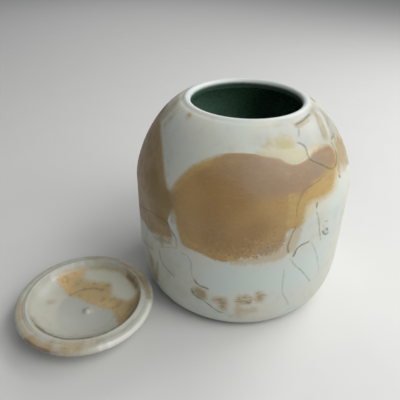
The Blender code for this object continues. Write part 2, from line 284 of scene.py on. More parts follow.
RUST_STROKES = (
    (1.5, 0.9, ((339.6, 133), (341.4, 143.5))), (1.3, 0.5, ((336.6, 136.4), (338, 138.5))),
    (1.3, 0.4, ((316.4, 112), (317.8, 117))), (2.2, 0.5, ((157, 122), (159.5, 127))),
    (1.6, 0.6, ((188, 114), (190, 116))), (1.8, 0.5, ((157.6, 265), (157, 275))))
# Painted highlights on the jar: light along the ridge of the shoulder's first fold, and a faint light band
# below the cream lap
HIGHLIGHT_STROKES = (
    (1.3, 0.6, ((319.5, 113), (324.4, 122.5), (328, 131.6), (329.8, 139), (333.5, 147), (337, 156))),
    (3, 0.3, ((286, 159), (300, 159))))
COOL_STROKES = (
    (16, 1.0, ((222, 281), (262, 279), (300, 272))), (12, 0.7, ((334, 208), (328, 240), (318, 262))),
    (9, 0.6, ((310, 300), (322, 286))))
# Painted shade: soft darkening over the shoulder, most on its right, and on the lower left
SHADE_STROKES = (
    (14, 1.0, ((290, 122), (308, 128), (326, 136))), (9, 0.6, ((322, 112), (336, 132))),
    (12, 0.4, ((168, 262), (170, 280), (188, 294))), (9, 0.75, ((262, 142), (282, 144), (300, 142))),
    (7, 0.9, ((300, 113), (311, 111), (320, 113))), (6, 0.9, ((332, 118), (335, 128), (337, 136))),
    (9, 0.6, ((182, 216), (186, 240))))
# Dark marks in the glaze, and painted shade: the strokes along the crease at the lip's right and at the rim's
# edge beside it, and the wide faint one down the lower left
DARK_MARK_AND_SHADE_STROKES = (
    (7, 0.4, ((145, 240), (149, 254), (152, 272), (158, 288))), (2.4, 0.35, ((151, 238), (152.4, 249))),
    (0.9, 0.9, ((322.8, 231.4), (324, 233.8), (326.4, 234.4), (328.2, 232.8))),
    (0.9, 1.0, ((326.6, 228.6), (327.8, 230.2))), (0.8, 0.45, ((323.6, 221.6), (328, 221.2))),
    (0.8, 0.4, ((323.4, 225), (325, 229))),
    (1.3, 0.6, ((296.6, 123.8), (301.6, 121.2), (306.2, 118), (310, 114))),
    (1.3, 0.5, ((298.6, 129), (298.4, 134))), (1.4, 0.9, ((311.6, 98.6), (315, 101.2))),
    (0.9, 0.7, ((339.2, 175.4), (340.4, 177.2))), (0.9, 0.8, ((317.4, 203.4), (316.8, 207.6))),
    (0.9, 0.7, ((293.6, 256.6), (295.8, 252))), (1.0, 0.6, ((328, 117), (331, 119.4))),
    (1.1, 0.5, ((327.8, 124), (328.6, 125))), (1.1, 0.6, ((330.8, 138), (333, 137))),
    (1.0, 0.4, ((321.6, 110), (324.2, 113.4))), (1.0, 0.5, ((171.8, 268), (174.6, 275))),
    (1.0, 0.5, ((194.6, 281.4), (198.6, 285.4), (204, 287.8))))
CRACKLE_REACH = 2.4 * MM
CRACKLE_END_FADE = 0.9 * MM

# Crackle lines at the sides and back: each lot's places in degrees round the jar, the heights dealt out to
# them, and what chance may do: the count of steps, the turn at each, the stray of a place and the strength
BACK_CRACK_SEED = 7
BACK_CRACK_DEGREES = (range(12, 180, 34), range(23, 180, 34), range(34, 180, 34))
BACK_CRACK_HEIGHTS = (92 * MM, 60 * MM, 112 * MM, 38 * MM, 78 * MM)
BACK_CRACK_STEPS = (12, 22)
BACK_CRACK_STEP = 2.2 * MM
BACK_CRACK_TURN = 0.3
BACK_CRACK_STRAY_DEGREES = 5.0
BACK_CRACK_STRAY_HEIGHT = 9 * MM
BACK_CRACK_STRENGTHS = (0.4, 0.9)

# Folds of the surface on the shoulder, each a height in millimetres and pixels of the view
FOLDS_PX = (
    (0.55, ((319.5, 113), (324.4, 122.5), (328, 131.6), (329.8, 139), (333.5, 147), (337, 156),
     (339.5, 168))),
    (0.4, ((327, 109), (331.4, 118), (335.4, 129), (338.5, 140))),
    (-0.4, ((316.2, 113), (319.8, 124), (323.5, 133.5), (325.3, 139.5))),
    (-0.4, ((324.4, 112), (328, 121.6), (330.7, 130.7), (332.5, 137))),
    (0.4, ((297, 126), (301.6, 123.4), (305.6, 120), (309.4, 115.6))),
    (-0.35, ((294.6, 123.6), (299, 121.4), (303, 118.6), (306, 115.6), (309, 112), (312, 105), (312.6, 99))))
FOLD_REACH = 3.6 * MM
FOLD_END_FADE = 3.0 * MM
FOLD_WIDTH = 1.2 * MM
FOLD_FADE = (1 * MM, 9 * MM)

# Glaze lines and thicknesses: walks are measured from the top of the lip, rises from a pour's edge inwards
RIM_GROOVE_WALK = 5.0 * MM
RIM_GROOVE_WIDTH = 1.5 * MM
RIM_GROOVE_DEPTH = 0.3 * MM
RIM_BAND_FULL = 2.4 * MM
RIM_BAND_END = 4.6 * MM
RUN_DEPTH = 3.0 * MM
POUR_THICKNESS = 0.10 * MM
POUR_RISE = (-0.5 * MM, 1.2 * MM)
CREAM_THICKNESS = 0.22 * MM
CREAM_RISE = (-0.5 * MM, 1.5 * MM)
FOOT_LINE = 1.6 * MM
LID_FOOT_LINE = 2.6 * MM
FAR_OUTSIDE = -9.0

# Traces of the hand: rings of throwing, and waves, each a share, a count round the axis and a length
JAR_RING_SEED = 3
JAR_WOBBLE_SEED = 5
LID_RING_SEED = 11
LID_WOBBLE_SEED = 13
LID_RING_SHARE = 0.5
RING_DEPTH = 0.016 * MM
RING_SPACING = 9 * MM
RING_PACE_SWAY = 0.8
RING_PACE_DRIFT = 31 * MM
RING_DEPTH_SWAY = 0.7
RING_DEPTH_DRIFT = 23 * MM
WOBBLE = 0.14 * MM
LID_WOBBLE = 0.10 * MM
WOBBLE_WAVES = ((1.0, 2, 60 * MM), (0.6, 3, -38 * MM), (0.35, 5, 21 * MM), (0.25, 8, -13 * MM))
SHOULDER_FADE = 40 * MM
FOOT_FADE = 10 * MM
LID_UNEVEN_FADE = (2 * MM, 6 * MM)

# The lid's pours and soft strokes, some of them painted shade and painted highlight, in pixels of the view
LID_BROWN_PX = (
    (56.6, 280), (57, 276.6), (62, 273.4), (69, 270.4), (76, 268.8), (84, 267.6), (100, 266.8), (112, 266.6),
    (124, 268.5), (134, 274.5), (141, 283), (143.5, 293), (143, 303), (138, 313), (131, 321), (123, 327),
    (118, 324), (115.5, 319), (113, 314), (109.5, 310), (104, 309), (98, 307), (90, 304), (83, 301),
    (76, 297.8), (70, 296.8), (66, 294.5), (63.5, 290), (60.5, 285))
LID_GREY_PX = (
    (87, 270.5), (84.5, 275), (84, 278.6), (88, 280.4), (96, 281.4), (105, 282.4), (111, 284),
    (112, 289), (112, 294), (115, 297.2), (121, 299.4), (128, 299.6), (133, 297), (136, 292),
    (134, 287), (129.5, 284), (127.5, 279), (124, 275), (117.6, 271), (108, 269.6), (97, 269.4))
# Painted shade in the bowl: on its right wall, round the step at its floor's edge, and at the near right
# under the crest
LID_SHADE_STROKES = (
    (1.6, 1.0, ((127, 275.5), (132.5, 280.5), (136.6, 287))),
    (2, 0.8, ((138.6, 294), (138.2, 302), (134.6, 310), (127.6, 318))),
    (4, 0.55, ((133, 305), (128, 313), (120, 320))), (7, 0.3, ((118, 301), (126, 306))),
    (1.3, 0.6, ((70, 295.4), (76, 292), (84, 289.2), (94, 288), (102, 289.8))),
    (5, 0.2, ((90, 294), (108, 294))), (1.8, 0.4, ((110, 330), (118, 325.6), (124, 321))))
LID_TAN_STROKES = (
    (4.6, 0.6, ((17.5, 300), (18.5, 314), (22, 328), (28, 338))), (4, 0.8, ((32, 340), (39, 344), (47, 347))),
    (4, 0.5, ((50, 348), (62, 349.6))), (4, 0.6, ((66, 349.4), (77, 349))), (5, 0.3, ((80, 348), (90, 346))),
    (2.8, 0.6, ((88, 259.4), (102, 258.6), (116, 261))), (3.4, 0.9, ((122, 264), (134, 270), (144, 280.5))),
    (3, 0.6, ((145, 284), (148, 292))), (1.2, 0.5, ((126, 269), (136, 277), (142, 288))),
    (1.2, 0.4, ((90, 267.6), (104, 267), (118, 269.6))),
    (3, 0.3, ((60, 265), (44, 272), (32, 282), (24, 292))),
    (1.8, 0.4, ((52, 341.6), (70, 343.6), (82, 342.6))), (2.2, 0.3, ((86, 341.8), (96, 339.4))))
LID_OLIVE_STROKES = (
    (1.6, 0.6, ((21.4, 302), (20.8, 310), (21.2, 319))), (3.6, 0.15, ((74, 261.6), (84, 260), (94, 259.5))),
    (3.6, 0.18, ((98, 259.5), (110, 260.8), (124, 265))), (3, 0.9, ((141, 279), (146.5, 288), (149, 297))),
    (4.4, 0.45, ((82, 348), (90, 346.6), (98, 344))),
    (1.4, 0.35, ((96, 267.6), (106, 267.4), (120, 270.6), (131, 277))),
    (1.9, 0.5, ((98, 341.8), (112, 336.8), (124, 330.6), (134, 321))),
    (2.6, 0.4, ((60, 264.6), (48, 270.4), (36, 278.6), (26, 290))), (2.6, 0.4, ((84, 309),)),
    (4, 0.3, ((44, 318), (50, 324))), (1.2, 0.6, ((84, 257.6), (104, 257.2), (118, 259.6))))
LID_RUSSET_STROKES = (
    (1, 0.9, ((24.6, 340), (30, 345), (38, 349.4), (48, 352.4))), (1, 0.5, ((50, 352.8), (58, 353.8))),
    (2, 0.5, ((136, 276), (142, 281.6))), (1.8, 0.6, ((128, 276), (133, 281))),
    (1.4, 0.5, ((130, 303), (130.6, 307))))
# Painted shade: a dark line at the foot of the bowl's near wall, under the crest
LID_CREASE_SHADE_STROKES = (
    (2.2, 0.42, ((38, 327), (46, 332), (56, 335.4), (68, 337), (80, 336.8), (92, 335), (104, 331.4))),
    (1.0, 0.7, ((31, 317.6), (36, 325.4), (44, 332), (54, 336.4))),
    (1, 1.0, ((56, 337), (65, 338.9), (78, 338.7), (90, 337.2))),
    (0.9, 0.7, ((92, 336.8), (102, 334), (112, 329.2), (120, 324.4))),
    (1.2, 0.6, ((123, 322.6), (129, 317.6), (134, 310))))
# Small tan marks on the bowl's left slope, and painted shade: soft brown along the crease under the near
# crest
LID_TAN_MARK_AND_SHADE_STROKES = (
    (2.6, 0.35, ((50, 302.6), (56, 301))), (2.2, 0.6, ((33, 317), (37, 324), (42, 329))),
    (4, 0.3, ((46, 306), (50, 300))), (1.2, 0.4, ((72, 282.6),)),
    (4, 0.4, ((46, 330.5), (58, 334.5), (70, 336), (84, 335.6), (98, 332.6))))
LID_GOLDEN_STROKES = (
    (4, 1.2, ((60, 281), (64, 277))), (6, 0.8, ((70, 273), (80, 271))), (6, 0.5, ((68, 287),)),
    (5, 0.4, ((100, 305), (110, 305))), (3.4, 0.5, ((33, 340), (44, 345.6))),
    (3.2, 0.5, ((68, 349.4), (77, 349))))
# Painted highlights on the lid: the bowl's left slope and the crest where they face the lamps, the rounded
# edge at the near right, and the top of the nub
LID_HIGHLIGHT_STROKES = (
    (8, 0.5, ((52, 282), (42, 292))), (1.3, 0.9, ((53, 278.6), (56.6, 274.4), (65, 268.8), (72, 266.4))),
    (1.5, 0.7, ((74, 265.8), (82, 264))), (1.7, 0.5, ((84, 263.6), (91, 262.6))),
    (2, 0.3, ((94, 262.2), (103, 262))), (2.4, 0.35, ((90, 348.4), (99, 347))),
    (2.2, 0.55, ((101, 346.8), (108, 345.2))),
    (2, 0.75, ((111, 344.4), (122, 339.6), (132, 333), (141, 322.6), (147, 312), (149.6, 304))),
    (2.2, 0.4, ((90, 311), (91.5, 311))),
    (1.6, 0.3, ((26, 304), (26.4, 314), (30, 324), (38, 332), (50, 338.6))),
    (1.6, 0.25, ((96, 339.6), (110, 334.6), (122, 327.6), (132, 318))))

# The glaze that fills the lid's channel, and where paint ends: at the brim, in the bowl, for the painted
# shade inside the crest, and on its floor
CHANNEL_FILL = 1.1 * MM
CHANNEL_WIDTH = 1.7 * MM
LID_PAINT_END = 1 * MM
LID_PAINT_FULL = 5 * MM
BOWL_PAINT_DEPTHS = (2.2 * MM, 3.4 * MM)
BOWL_SHADE_OUT = 0.1 * MM
BOWL_SHADE_IN = 0.9 * MM
FLOOR_TONE_OUT = 2.0 * MM
FLOOR_TONE_IN = 1.5 * MM

# The glazes' mottling: the sizes of clouds, blush, fray, grit and pepper, of the jar's streaks, of a
# crackle line's fading, straying and width, and of the liner's pools and grain. A shade is a reach along X
# over which painted shade turns the dark glass to black towards +X
JAR_MOTTLES = (22 * MM, 7 * MM, 2.4 * MM, 0.9 * MM, 1.5 * MM)
LID_MOTTLES = (16 * MM, 5 * MM, 2.0 * MM, 0.8 * MM, 1.4 * MM)
STREAK_SIZE = 6 * MM
STREAK_STRETCH = (1.0, 1.0, 4.0)
CRACKLE_MOTTLES = (9 * MM, 3 * MM, 5 * MM)
LINER_MOTTLES = (14 * MM, 3 * MM)
LINER_SHADE = (-3 * MM, 22 * MM)
RUN_SHADE = (-45 * MM, 5 * MM)

# Colours of the glazes and the clay, and of painted highlight and painted shade, as linear red, green and
# blue
GLAZE_COOL = (0.605, 0.64, 0.585)
GLAZE_WARM = (0.635, 0.635, 0.545)
GLAZE_SHADE = (0.52, 0.535, 0.47)
OLIVE = (0.34, 0.28, 0.155)
BEIGE = (0.52, 0.435, 0.29)
TAN = (0.44, 0.285, 0.115)
TAN_DEEP = (0.335, 0.20, 0.075)
TAN_ROSY = (0.345, 0.24, 0.148)
TAN_PALE = (0.56, 0.42, 0.25)
TAN_SPECK = (0.20, 0.13, 0.065)
OCHRE = (0.50, 0.345, 0.135)
OCHRE_SOFT = (0.41, 0.295, 0.125)
HALO = (0.60, 0.545, 0.36)
RIM_WHITE = (0.655, 0.70, 0.69)
# Painted highlight on the jar
PAINTED_HIGHLIGHT = (0.70, 0.72, 0.66)
RUST = (0.30, 0.185, 0.115)
# The lid's painted highlight
LID_PAINTED_HIGHLIGHT = (0.79, 0.805, 0.755)
SMOKE = (0.30, 0.255, 0.20)
UMBER = (0.40, 0.285, 0.15)
UMBER_DEEP = (0.35, 0.245, 0.125)
UMBER_LOW = (0.30, 0.205, 0.075)
GLAZE_MINT = (0.59, 0.665, 0.63)
# Painted shade on the jar's glaze
GLAZE_PAINTED_SHADE = (0.47, 0.485, 0.44)
SMEAR = (0.44, 0.37, 0.15)
CREAM = (0.54, 0.50, 0.325)
BLOT = (0.50, 0.38, 0.21)
BLOT_EDGE = (0.29, 0.225, 0.115)
# Dark marks, and painted shade in creases
DARK_MARK_AND_SHADE = (0.16, 0.155, 0.11)
# The crackle lines' dark, also used for painted shade along the crease in the lid's bowl
CRACKLE_AND_CREASE_SHADE = (0.14, 0.115, 0.075)
CLAY = (0.16, 0.125, 0.09)
CLAY_DARK = (0.07, 0.06, 0.05)
LINER_DARK = (0.095, 0.21, 0.15)
# The liner's lighter green: where its pools run thin, and painted light towards -X
LINER_THIN_AND_LIT = (0.30, 0.50, 0.38)
# The liner's painted shade, near black
LINER_PAINTED_SHADE = (0.03, 0.06, 0.04)
LID_PALE = (0.585, 0.575, 0.495)
LID_GREEN = (0.54, 0.565, 0.495)
LID_BROWN = (0.57, 0.44, 0.23)
LID_ORANGE = (0.55, 0.40, 0.19)
LID_GREY = (0.68, 0.705, 0.60)
LID_AMBER = (0.74, 0.53, 0.27)
# The lid's painted shade
LID_PAINTED_SHADE = (0.175, 0.125, 0.075)
LID_TAN = (0.42, 0.32, 0.19)
LID_FLOOR = (0.50, 0.515, 0.465)
LID_RUSSET = (0.23, 0.15, 0.10)
PAPER = (0.70, 0.70, 0.695)
PAPER_LIGHT = (0.73, 0.73, 0.73)
PAPER_ROUGHNESS = 0.8
PAPER_MOTTLES = (60 * MM, 45 * MM)
PAPER_RELIEF = 0.4 * MM

# The light: a dim room, and lamps by name, place, aim, size, power and colour
ROOM_COLOUR = (0.95, 0.97, 1.0)
ROOM_STRENGTH = 0.15
LAMPS = (
    ("window_near", (0.674, -0.389, 0.828), (0.0, 0.0, 0.05), 0.7, 5.7, (1.0, 0.995, 0.98)),
    ("window_far", (0.674, 0.389, 0.828), (0.0, 0.0, 0.05), 0.7, 6.4, (1.0, 0.995, 0.98)),
    ("backdrop", (-0.25, 1.25, 0.9), (-0.1, 0.75, 0.0), 0.5, 2.2, (1.0, 0.995, 0.985)),
    ("room_front", (0.354, -0.612, 0.893), (0.0, 0.0, 0.05), 0.7, 2.7, (1.0, 0.99, 0.96)))


def between(low, high, share):
    """The value that lies the given share of the way from low to high."""
    return low + (high - low) * share


def pulled(start, end, shares):
    """A curve's pull point: shares of the way from start to end, in radius and in height."""
    return between(start[0], end[0], shares[0]), between(start[1], end[1], shares[1])


def curve(start, start_pull, end_pull, end):
    """A cubic curve: its four points weighted by (1-t)^3, 3t(1-t)^2, 3t^2(1-t) and t^3."""
    t = np.linspace(0.0, 1.0, CURVE_POINTS)[:, None]
    s = 1.0 - t
    points = [np.array(point) for point in (start, start_pull, end_pull, end)]
    return s**3 * points[0] + 3 * s * s * t * points[1] + 3 * s * t * t * points[2] + t**3 * points[3]


def arc(centre, radius, start_angle, end_angle):
    """A round arc: centre plus radius times cosine and sine of an evenly turning angle."""
    angle = np.linspace(start_angle, end_angle, CURVE_POINTS)
    return np.column_stack([centre[0] + radius * np.cos(angle), centre[1] + radius * np.sin(angle)])


def walk_along(points):
    """Distance walked along a line of points, from its first one."""
    return np.concatenate([[0.0], np.cumsum(np.hypot(*np.diff(points, axis=0).T))])


def walked(points, step):
    """The line read again at even steps: each coordinate is interpolated over the distance walked."""
    walk = walk_along(points)
    even = np.linspace(0.0, walk[-1], max(2, round(walk[-1] / step) + 1))
    return np.column_stack([np.interp(even, walk, points[:, axis]) for axis in range(points.shape[1])])


def joined(*runs):
    """One outline from runs that meet end to end, with each repeated meeting point dropped."""
    points = np.vstack([np.array(run) for run in runs])
    fresh = np.hypot(*np.diff(points, axis=0).T) > SAME_POINT
    return points[np.concatenate([[True], fresh])]


def offset(points, distance):
    """The outline moved to its right: each point goes along the turned direction of its neighbours."""
    along = np.gradient(points, axis=0)
    along /= np.hypot(along[:, 0], along[:, 1])[:, None]
    moved = points + distance * np.column_stack([along[:, 1], -along[:, 0]])
    moved[points[:, 0] == 0.0, 0] = 0.0
    return moved


def softened(points, closed=False):
    """A smooth line through the points: between two of them, the cubic whose ends lean as the neighbours
    lie (Catmull-Rom), read again at even steps."""
    points = np.asarray(points)
    if closed:
        before, here, after, beyond = (np.roll(points, turn, axis=0) for turn in (1, 0, -1, -2))
    else:
        ends = np.vstack([2 * points[0] - points[1], points, 2 * points[-1] - points[-2]])
        before, here, after, beyond = ends[:-3], ends[1:-2], ends[2:-1], ends[3:]
    t = np.linspace(0.0, 1.0, SOFT_POINTS, endpoint=False)[None, :, None]
    before, here, after, beyond = (knots[:, None, :] for knots in (before, here, after, beyond))
    line = here + 0.5 * ((after - before) * t + (2 * before - 5 * here + 4 * after - beyond) * t**2
                         + (3 * here - before - 3 * after + beyond) * t**3)
    last = here[0] if closed else after[-1]
    return walked(np.vstack([line.reshape(-1, points.shape[1]), last]), OUTLINE_STEP)


def lip_profile():
    """The round lip, from its inner side over the top to where the shoulder slopes off from it."""
    lip_radius = LIP_THICKNESS / 2
    return arc((MOUTH_RADIUS + lip_radius, JAR_HEIGHT - lip_radius), lip_radius, pi, LIP_END_ANGLE)


def outer_profile():
    """The jar's outside: the shoulder from the lip down, the wall and the foot's rounded edge."""
    lip_radius = LIP_THICKNESS / 2
    top = (MOUTH_RADIUS + lip_radius * (1 + cos(LIP_END_ANGLE)),
           JAR_HEIGHT - lip_radius * (1 - sin(LIP_END_ANGLE)))
    wall_pull, top_pull_reach, top_pull_rise = SHOULDER_FULLNESS_SHARES
    shoulder = curve(top,
                     (between(top[0], BODY_RADIUS, top_pull_reach),
                      between(SHOULDER_START, top[1], top_pull_rise)),
                     (BODY_RADIUS, between(SHOULDER_START, top[1], wall_pull)),
                     (BODY_RADIUS, SHOULDER_START))
    out_pull, up_pull = FOOT_FULLNESS_SHARES
    foot = curve((BODY_RADIUS, WALL_START),
                 (BODY_RADIUS, WALL_START * up_pull),
                 (between(FOOT_RADIUS, BODY_RADIUS, out_pull), 0.0),
                 (FOOT_RADIUS, 0.0))
    return joined(shoulder, foot)


def inside_profile(top):
    """The finished inside, from the middle of the floor up the neck to the given height."""
    inner_radius = BODY_RADIUS - WALL
    floor_edge = inner_radius * INNER_FLOOR_SHARE
    out_pull, up_pull = INNER_FOOT_FULLNESS_SHARES
    corner = curve((floor_edge, FLOOR),
                   (between(floor_edge, inner_radius, out_pull), FLOOR),
                   (inner_radius, between(FLOOR, WALL_START, up_pull)),
                   (inner_radius, WALL_START))
    neck_foot = (MOUTH_RADIUS, JAR_HEIGHT - NECK_DEPTH)
    reach = inner_radius - neck_foot[0]
    rise = neck_foot[1] - INNER_SHOULDER_START
    neck_reach, neck_rise, wall_pull = INNER_SHOULDER_FULLNESS_SHARES
    shoulder = curve((inner_radius, INNER_SHOULDER_START),
                     (inner_radius, INNER_SHOULDER_START + rise * wall_pull),
                     (neck_foot[0] + reach * neck_reach, INNER_SHOULDER_START + rise * neck_rise),
                     neck_foot)
    return joined([(0.0, FLOOR)], corner, shoulder, [(MOUTH_RADIUS, top)])


def lid_top_profile():
    """The lid's upper face, from the nub out over the bowl, crest and channel to the rounded edge."""
    floor_break = (BOWL_FLOOR_RADIUS, LID_HEIGHT - BOWL_FLOOR_DEPTH)
    floor_middle = floor_break[1] - BOWL_FLOOR_DISH
    nub_pull = NUB_RADIUS * NUB_FULLNESS_SHARE
    nub = curve((0.0, floor_middle + NUB_HEIGHT), (nub_pull, floor_middle + NUB_HEIGHT),
                (nub_pull, floor_middle), (NUB_RADIUS, floor_middle))
    flat_pull, break_pull, break_rise = BOWL_FLOOR_FULLNESS_SHARES
    dish = curve((NUB_RADIUS, floor_middle),
                 (BOWL_FLOOR_RADIUS * flat_pull, floor_middle),
                 (BOWL_FLOOR_RADIUS * break_pull, between(floor_middle, floor_break[1], break_rise)),
                 floor_break)
    crest_inside = CREST_RADIUS - CREST_WIDTH / 2
    wall_foot = (crest_inside - BOWL_WALL_LEAN, LID_HEIGHT - BOWL_WALL_DROP)
    slope = curve(floor_break,
                  pulled(floor_break, wall_foot, BOWL_SLOPE_FULLNESS_SHARES[:2]),
                  pulled(floor_break, wall_foot, BOWL_SLOPE_FULLNESS_SHARES[2:]),
                  wall_foot)
    crest = arc((CREST_RADIUS, LID_HEIGHT - CREST_WIDTH / 2), CREST_WIDTH / 2, pi, CREST_END_ANGLE)
    channel = [(CHANNEL_RADIUS, LID_HEIGHT - CHANNEL_DEPTH)]
    edge_radius = LID_EDGE_THICKNESS / 2
    edge_centre = (LID_RADIUS - edge_radius, LID_HEIGHT - LID_EDGE_DROP - edge_radius)
    edge = arc(edge_centre, edge_radius, LID_EDGE_START_ANGLE, -pi / 2)
    return joined(nub, dish, slope, crest, channel, edge)


def lid_under_profile():
    """The underside: the seat cone down to the small flat foot and in to its middle."""
    cone_top = (SEAT_CONE_TOP_RADIUS, LID_HEIGHT - SEAT_CONE_TOP_DEPTH)
    cone_foot = (LID_FOOT_RADIUS + LID_FOOT_BEVEL, LID_FOOT_BEVEL)
    cone = curve(cone_top,
                 pulled(cone_top, cone_foot, SEAT_CONE_FULLNESS_SHARES[:2]),
                 pulled(cone_top, cone_foot, SEAT_CONE_FULLNESS_SHARES[2:]),
                 cone_foot)
    return joined(cone, [(LID_FOOT_RADIUS, 0.0), (0.0, 0.0)])


class Thrown:
    """A turned surface as a grid: row i is a point of the profile, column j is a ray round the axis."""

    def __init__(self, profile, columns, centre=(0.0, 0.0)):
        self.profile = profile
        self.columns = columns
        self.centre = centre
        self.angle = np.arange(columns) / columns * tau + np.zeros((len(profile), 1))
        self.radius = profile[:, :1] + np.zeros(columns)
        self.height = profile[:, 1:] + np.zeros(columns)

    def swell(self, amount):
        """The surface moved out along its normals, the profile's direction turned a quarter, by a grid of
        amounts. The two ends stay on the axis."""
        along = np.gradient(self.profile, axis=0)
        along /= np.hypot(along[:, 0], along[:, 1])[:, None]
        off_axis = self.profile[:, :1] > 0.0
        self.radius = self.radius - np.where(off_axis, along[:, 1:] * amount, 0.0)
        self.height = self.height + along[:, :1] * amount

    def points(self):
        """The grid in space: centre plus radius times cosine and sine of the angle, and the height."""
        x = self.centre[0] + self.radius * np.cos(self.angle)
        y = self.centre[1] + self.radius * np.sin(self.angle)
        return np.stack([x, y, self.height], axis=-1)

    def piece(self, name, glaze, layers):
        """A closed mesh of the grid in its glaze, with a pole vertex at each end and the layers as point
        attributes."""
        rows = len(self.profile) - 2
        grid = self.points()
        vertices = np.vstack([grid[:1, 0], grid[1:-1].reshape(-1, 3), grid[-1:, 0]])
        row = np.arange(rows - 1)[:, None] * self.columns + 1
        here = np.arange(self.columns)
        after = (here + 1) % self.columns
        below = row + self.columns
        quads = np.stack([row + here, below + here, below + after, row + after], axis=-1).reshape(-1, 4)
        last = len(vertices) - 1
        last_row = last - self.columns
        top_fan = np.column_stack([np.zeros_like(here), 1 + here, 1 + after])
        end_fan = np.column_stack([last_row + here, np.full_like(here, last), last_row + after])
        mesh = bpy.data.meshes.new(name)
        mesh.from_pydata(vertices, [], quads.tolist() + top_fan.tolist() + end_fan.tolist(), shade_flat=False)
        for title, values in layers.items():
            flat = np.concatenate([values[:1, 0], values[1:-1].reshape(-1, 3), values[-1:, 0]])
            attribute = mesh.attributes.new(title, "FLOAT_VECTOR", "POINT")
            attribute.data.foreach_set("vector", flat.astype(np.float32).ravel())
        mesh.materials.append(glaze)
        solid = bpy.data.objects.new(name, mesh)
        bpy.context.scene.collection.objects.link(solid)
        return solid


class Sheet:
    """A thrown surface laid flat to be painted: each point of its grid has a place across and a place
    down, in metres. One turn round the jar is its girth, and where the jar is narrower, a step across
    is that much shorter."""

    def __init__(self, across, down, stretch=1.0, girth=None):
        self.across = across
        self.down = down
        self.stretch = stretch
        self.girth = girth

    def sides(self, line):
        """For each side of a line, at every point of the sheet: the steps across and down to its two ends,
        the share of it that lies nearest, and the distance to it. The share is minus the step to the start
        times the side, over the side times itself, and the distance holds it between 0 and 1."""
        middle = line[:, 0].mean()
        across = self.across
        if self.girth:
            across = middle + (across - middle + self.girth / 2) % self.girth - self.girth / 2
        steps = [((place[0] - across) * self.stretch, place[1] - self.down) for place in line]
        for (ax, ay), (bx, by) in zip(steps[:-1], steps[1:]):
            ex, ey = bx - ax, by - ay
            share = -(ax * ex + ay * ey) / np.maximum(ex * ex + ey * ey, SAME_POINT**2)
            on_side = np.clip(share, 0.0, 1.0)
            yield (ax, ay), (bx, by), share, np.hypot(ax + on_side * ex, ay + on_side * ey)

    def nearest(self, line):
        """The distance from every point of the sheet to a line: the least of those to its sides."""
        return np.min([gap for _, _, _, gap in self.sides(line)], axis=0)

    def depth_in(self, outline):
        """How deep each point lies inside a closed outline: the distance to its nearest side, above zero
        inside and below zero outside. A point is inside if a line from it crosses an odd count of sides."""
        nearest = np.full(self.down.shape, np.inf)
        inside = np.zeros(self.down.shape, bool)
        for (ax, ay), (bx, by), _, gap in self.sides(outline):
            nearest = np.minimum(nearest, gap)
            crossed = (ay > 0.0) != (by > 0.0)
            inside ^= crossed & (ax - ay * (bx - ax) / np.where(by == ay, 1.0, by - ay) > 0.0)
        return np.where(inside, nearest, -nearest)

    def strokes(self, marks):
        """Soft strokes of tone, added up: each is its strength times e to the -(distance/reach)^2, with the
        distance to the nearest point of the line through its pixels. A pixel off the piece is left out."""
        tone = np.zeros(self.down.shape)
        for reach, strength, pixels in marks:
            line = self.seen(pixels)
            if len(line):
                nearest = self.nearest(np.vstack([line, line[-1:]]))
                tone = tone + strength * np.exp(-(nearest / (reach * MM))**2)
        return tone

    def beside(self, lines, reach, end_fade):
        """How far each point lies to one side of the nearest of some open lines, and how firmly that line
        shows. The first is the cross product of the steps to a side's two ends, over its length. The second
        is the line's strength close by, and falls evenly to 0 at the reach and past the line's ends."""
        nearest = np.full(self.down.shape, np.inf)
        side = np.full(self.down.shape, reach)
        past = np.zeros(self.down.shape)
        strong = np.zeros(self.down.shape)
        for strength, line in lines:
            for (ax, ay), (bx, by), share, gap in self.sides(line):
                length = np.hypot(bx - ax, by - ay)
                nearer = gap < nearest
                nearest = np.where(nearer, gap, nearest)
                side = np.where(nearer, (ax * by - ay * bx) / length, side)
                past = np.where(nearer, np.abs(share - np.clip(share, 0.0, 1.0)) * length, past)
                strong = np.where(nearer, strength, strong)
        firm = np.clip((reach - nearest) / (reach / 3), 0.0, 1.0) * np.clip(1.0 - past / end_fade, 0.0, 1.0)
        return side, firm * strong


def make_camera():
    """The view of the photograph: its eye, its downward look and its slight roll."""
    camera = bpy.data.objects.new("photo_view", bpy.data.cameras.new("photo_view"))
    bpy.context.scene.collection.objects.link(camera)
    camera.data.sensor_width = SENSOR_WIDTH_MM
    camera.data.lens = SENSOR_WIDTH_MM * FOCAL_PX / FRAME_PX
    camera.matrix_world = Matrix.Translation(EYE) @ VIEW_TURN.to_4x4()
    bpy.context.scene.camera = camera


def seen_on(node, pixels):
    """Where the view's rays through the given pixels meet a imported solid, as an array of places."""
    places = []
    for across, down in pixels:
        ray = VIEW_TURN @ Vector((across - FRAME_PX / 2, FRAME_PX / 2 - down, -FOCAL_PX)).normalized()
        hit, place, _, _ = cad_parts[node].ray_cast(EYE, ray)
        if hit:
            places.append(tuple(place))
    return np.array(places).reshape(-1, 3)


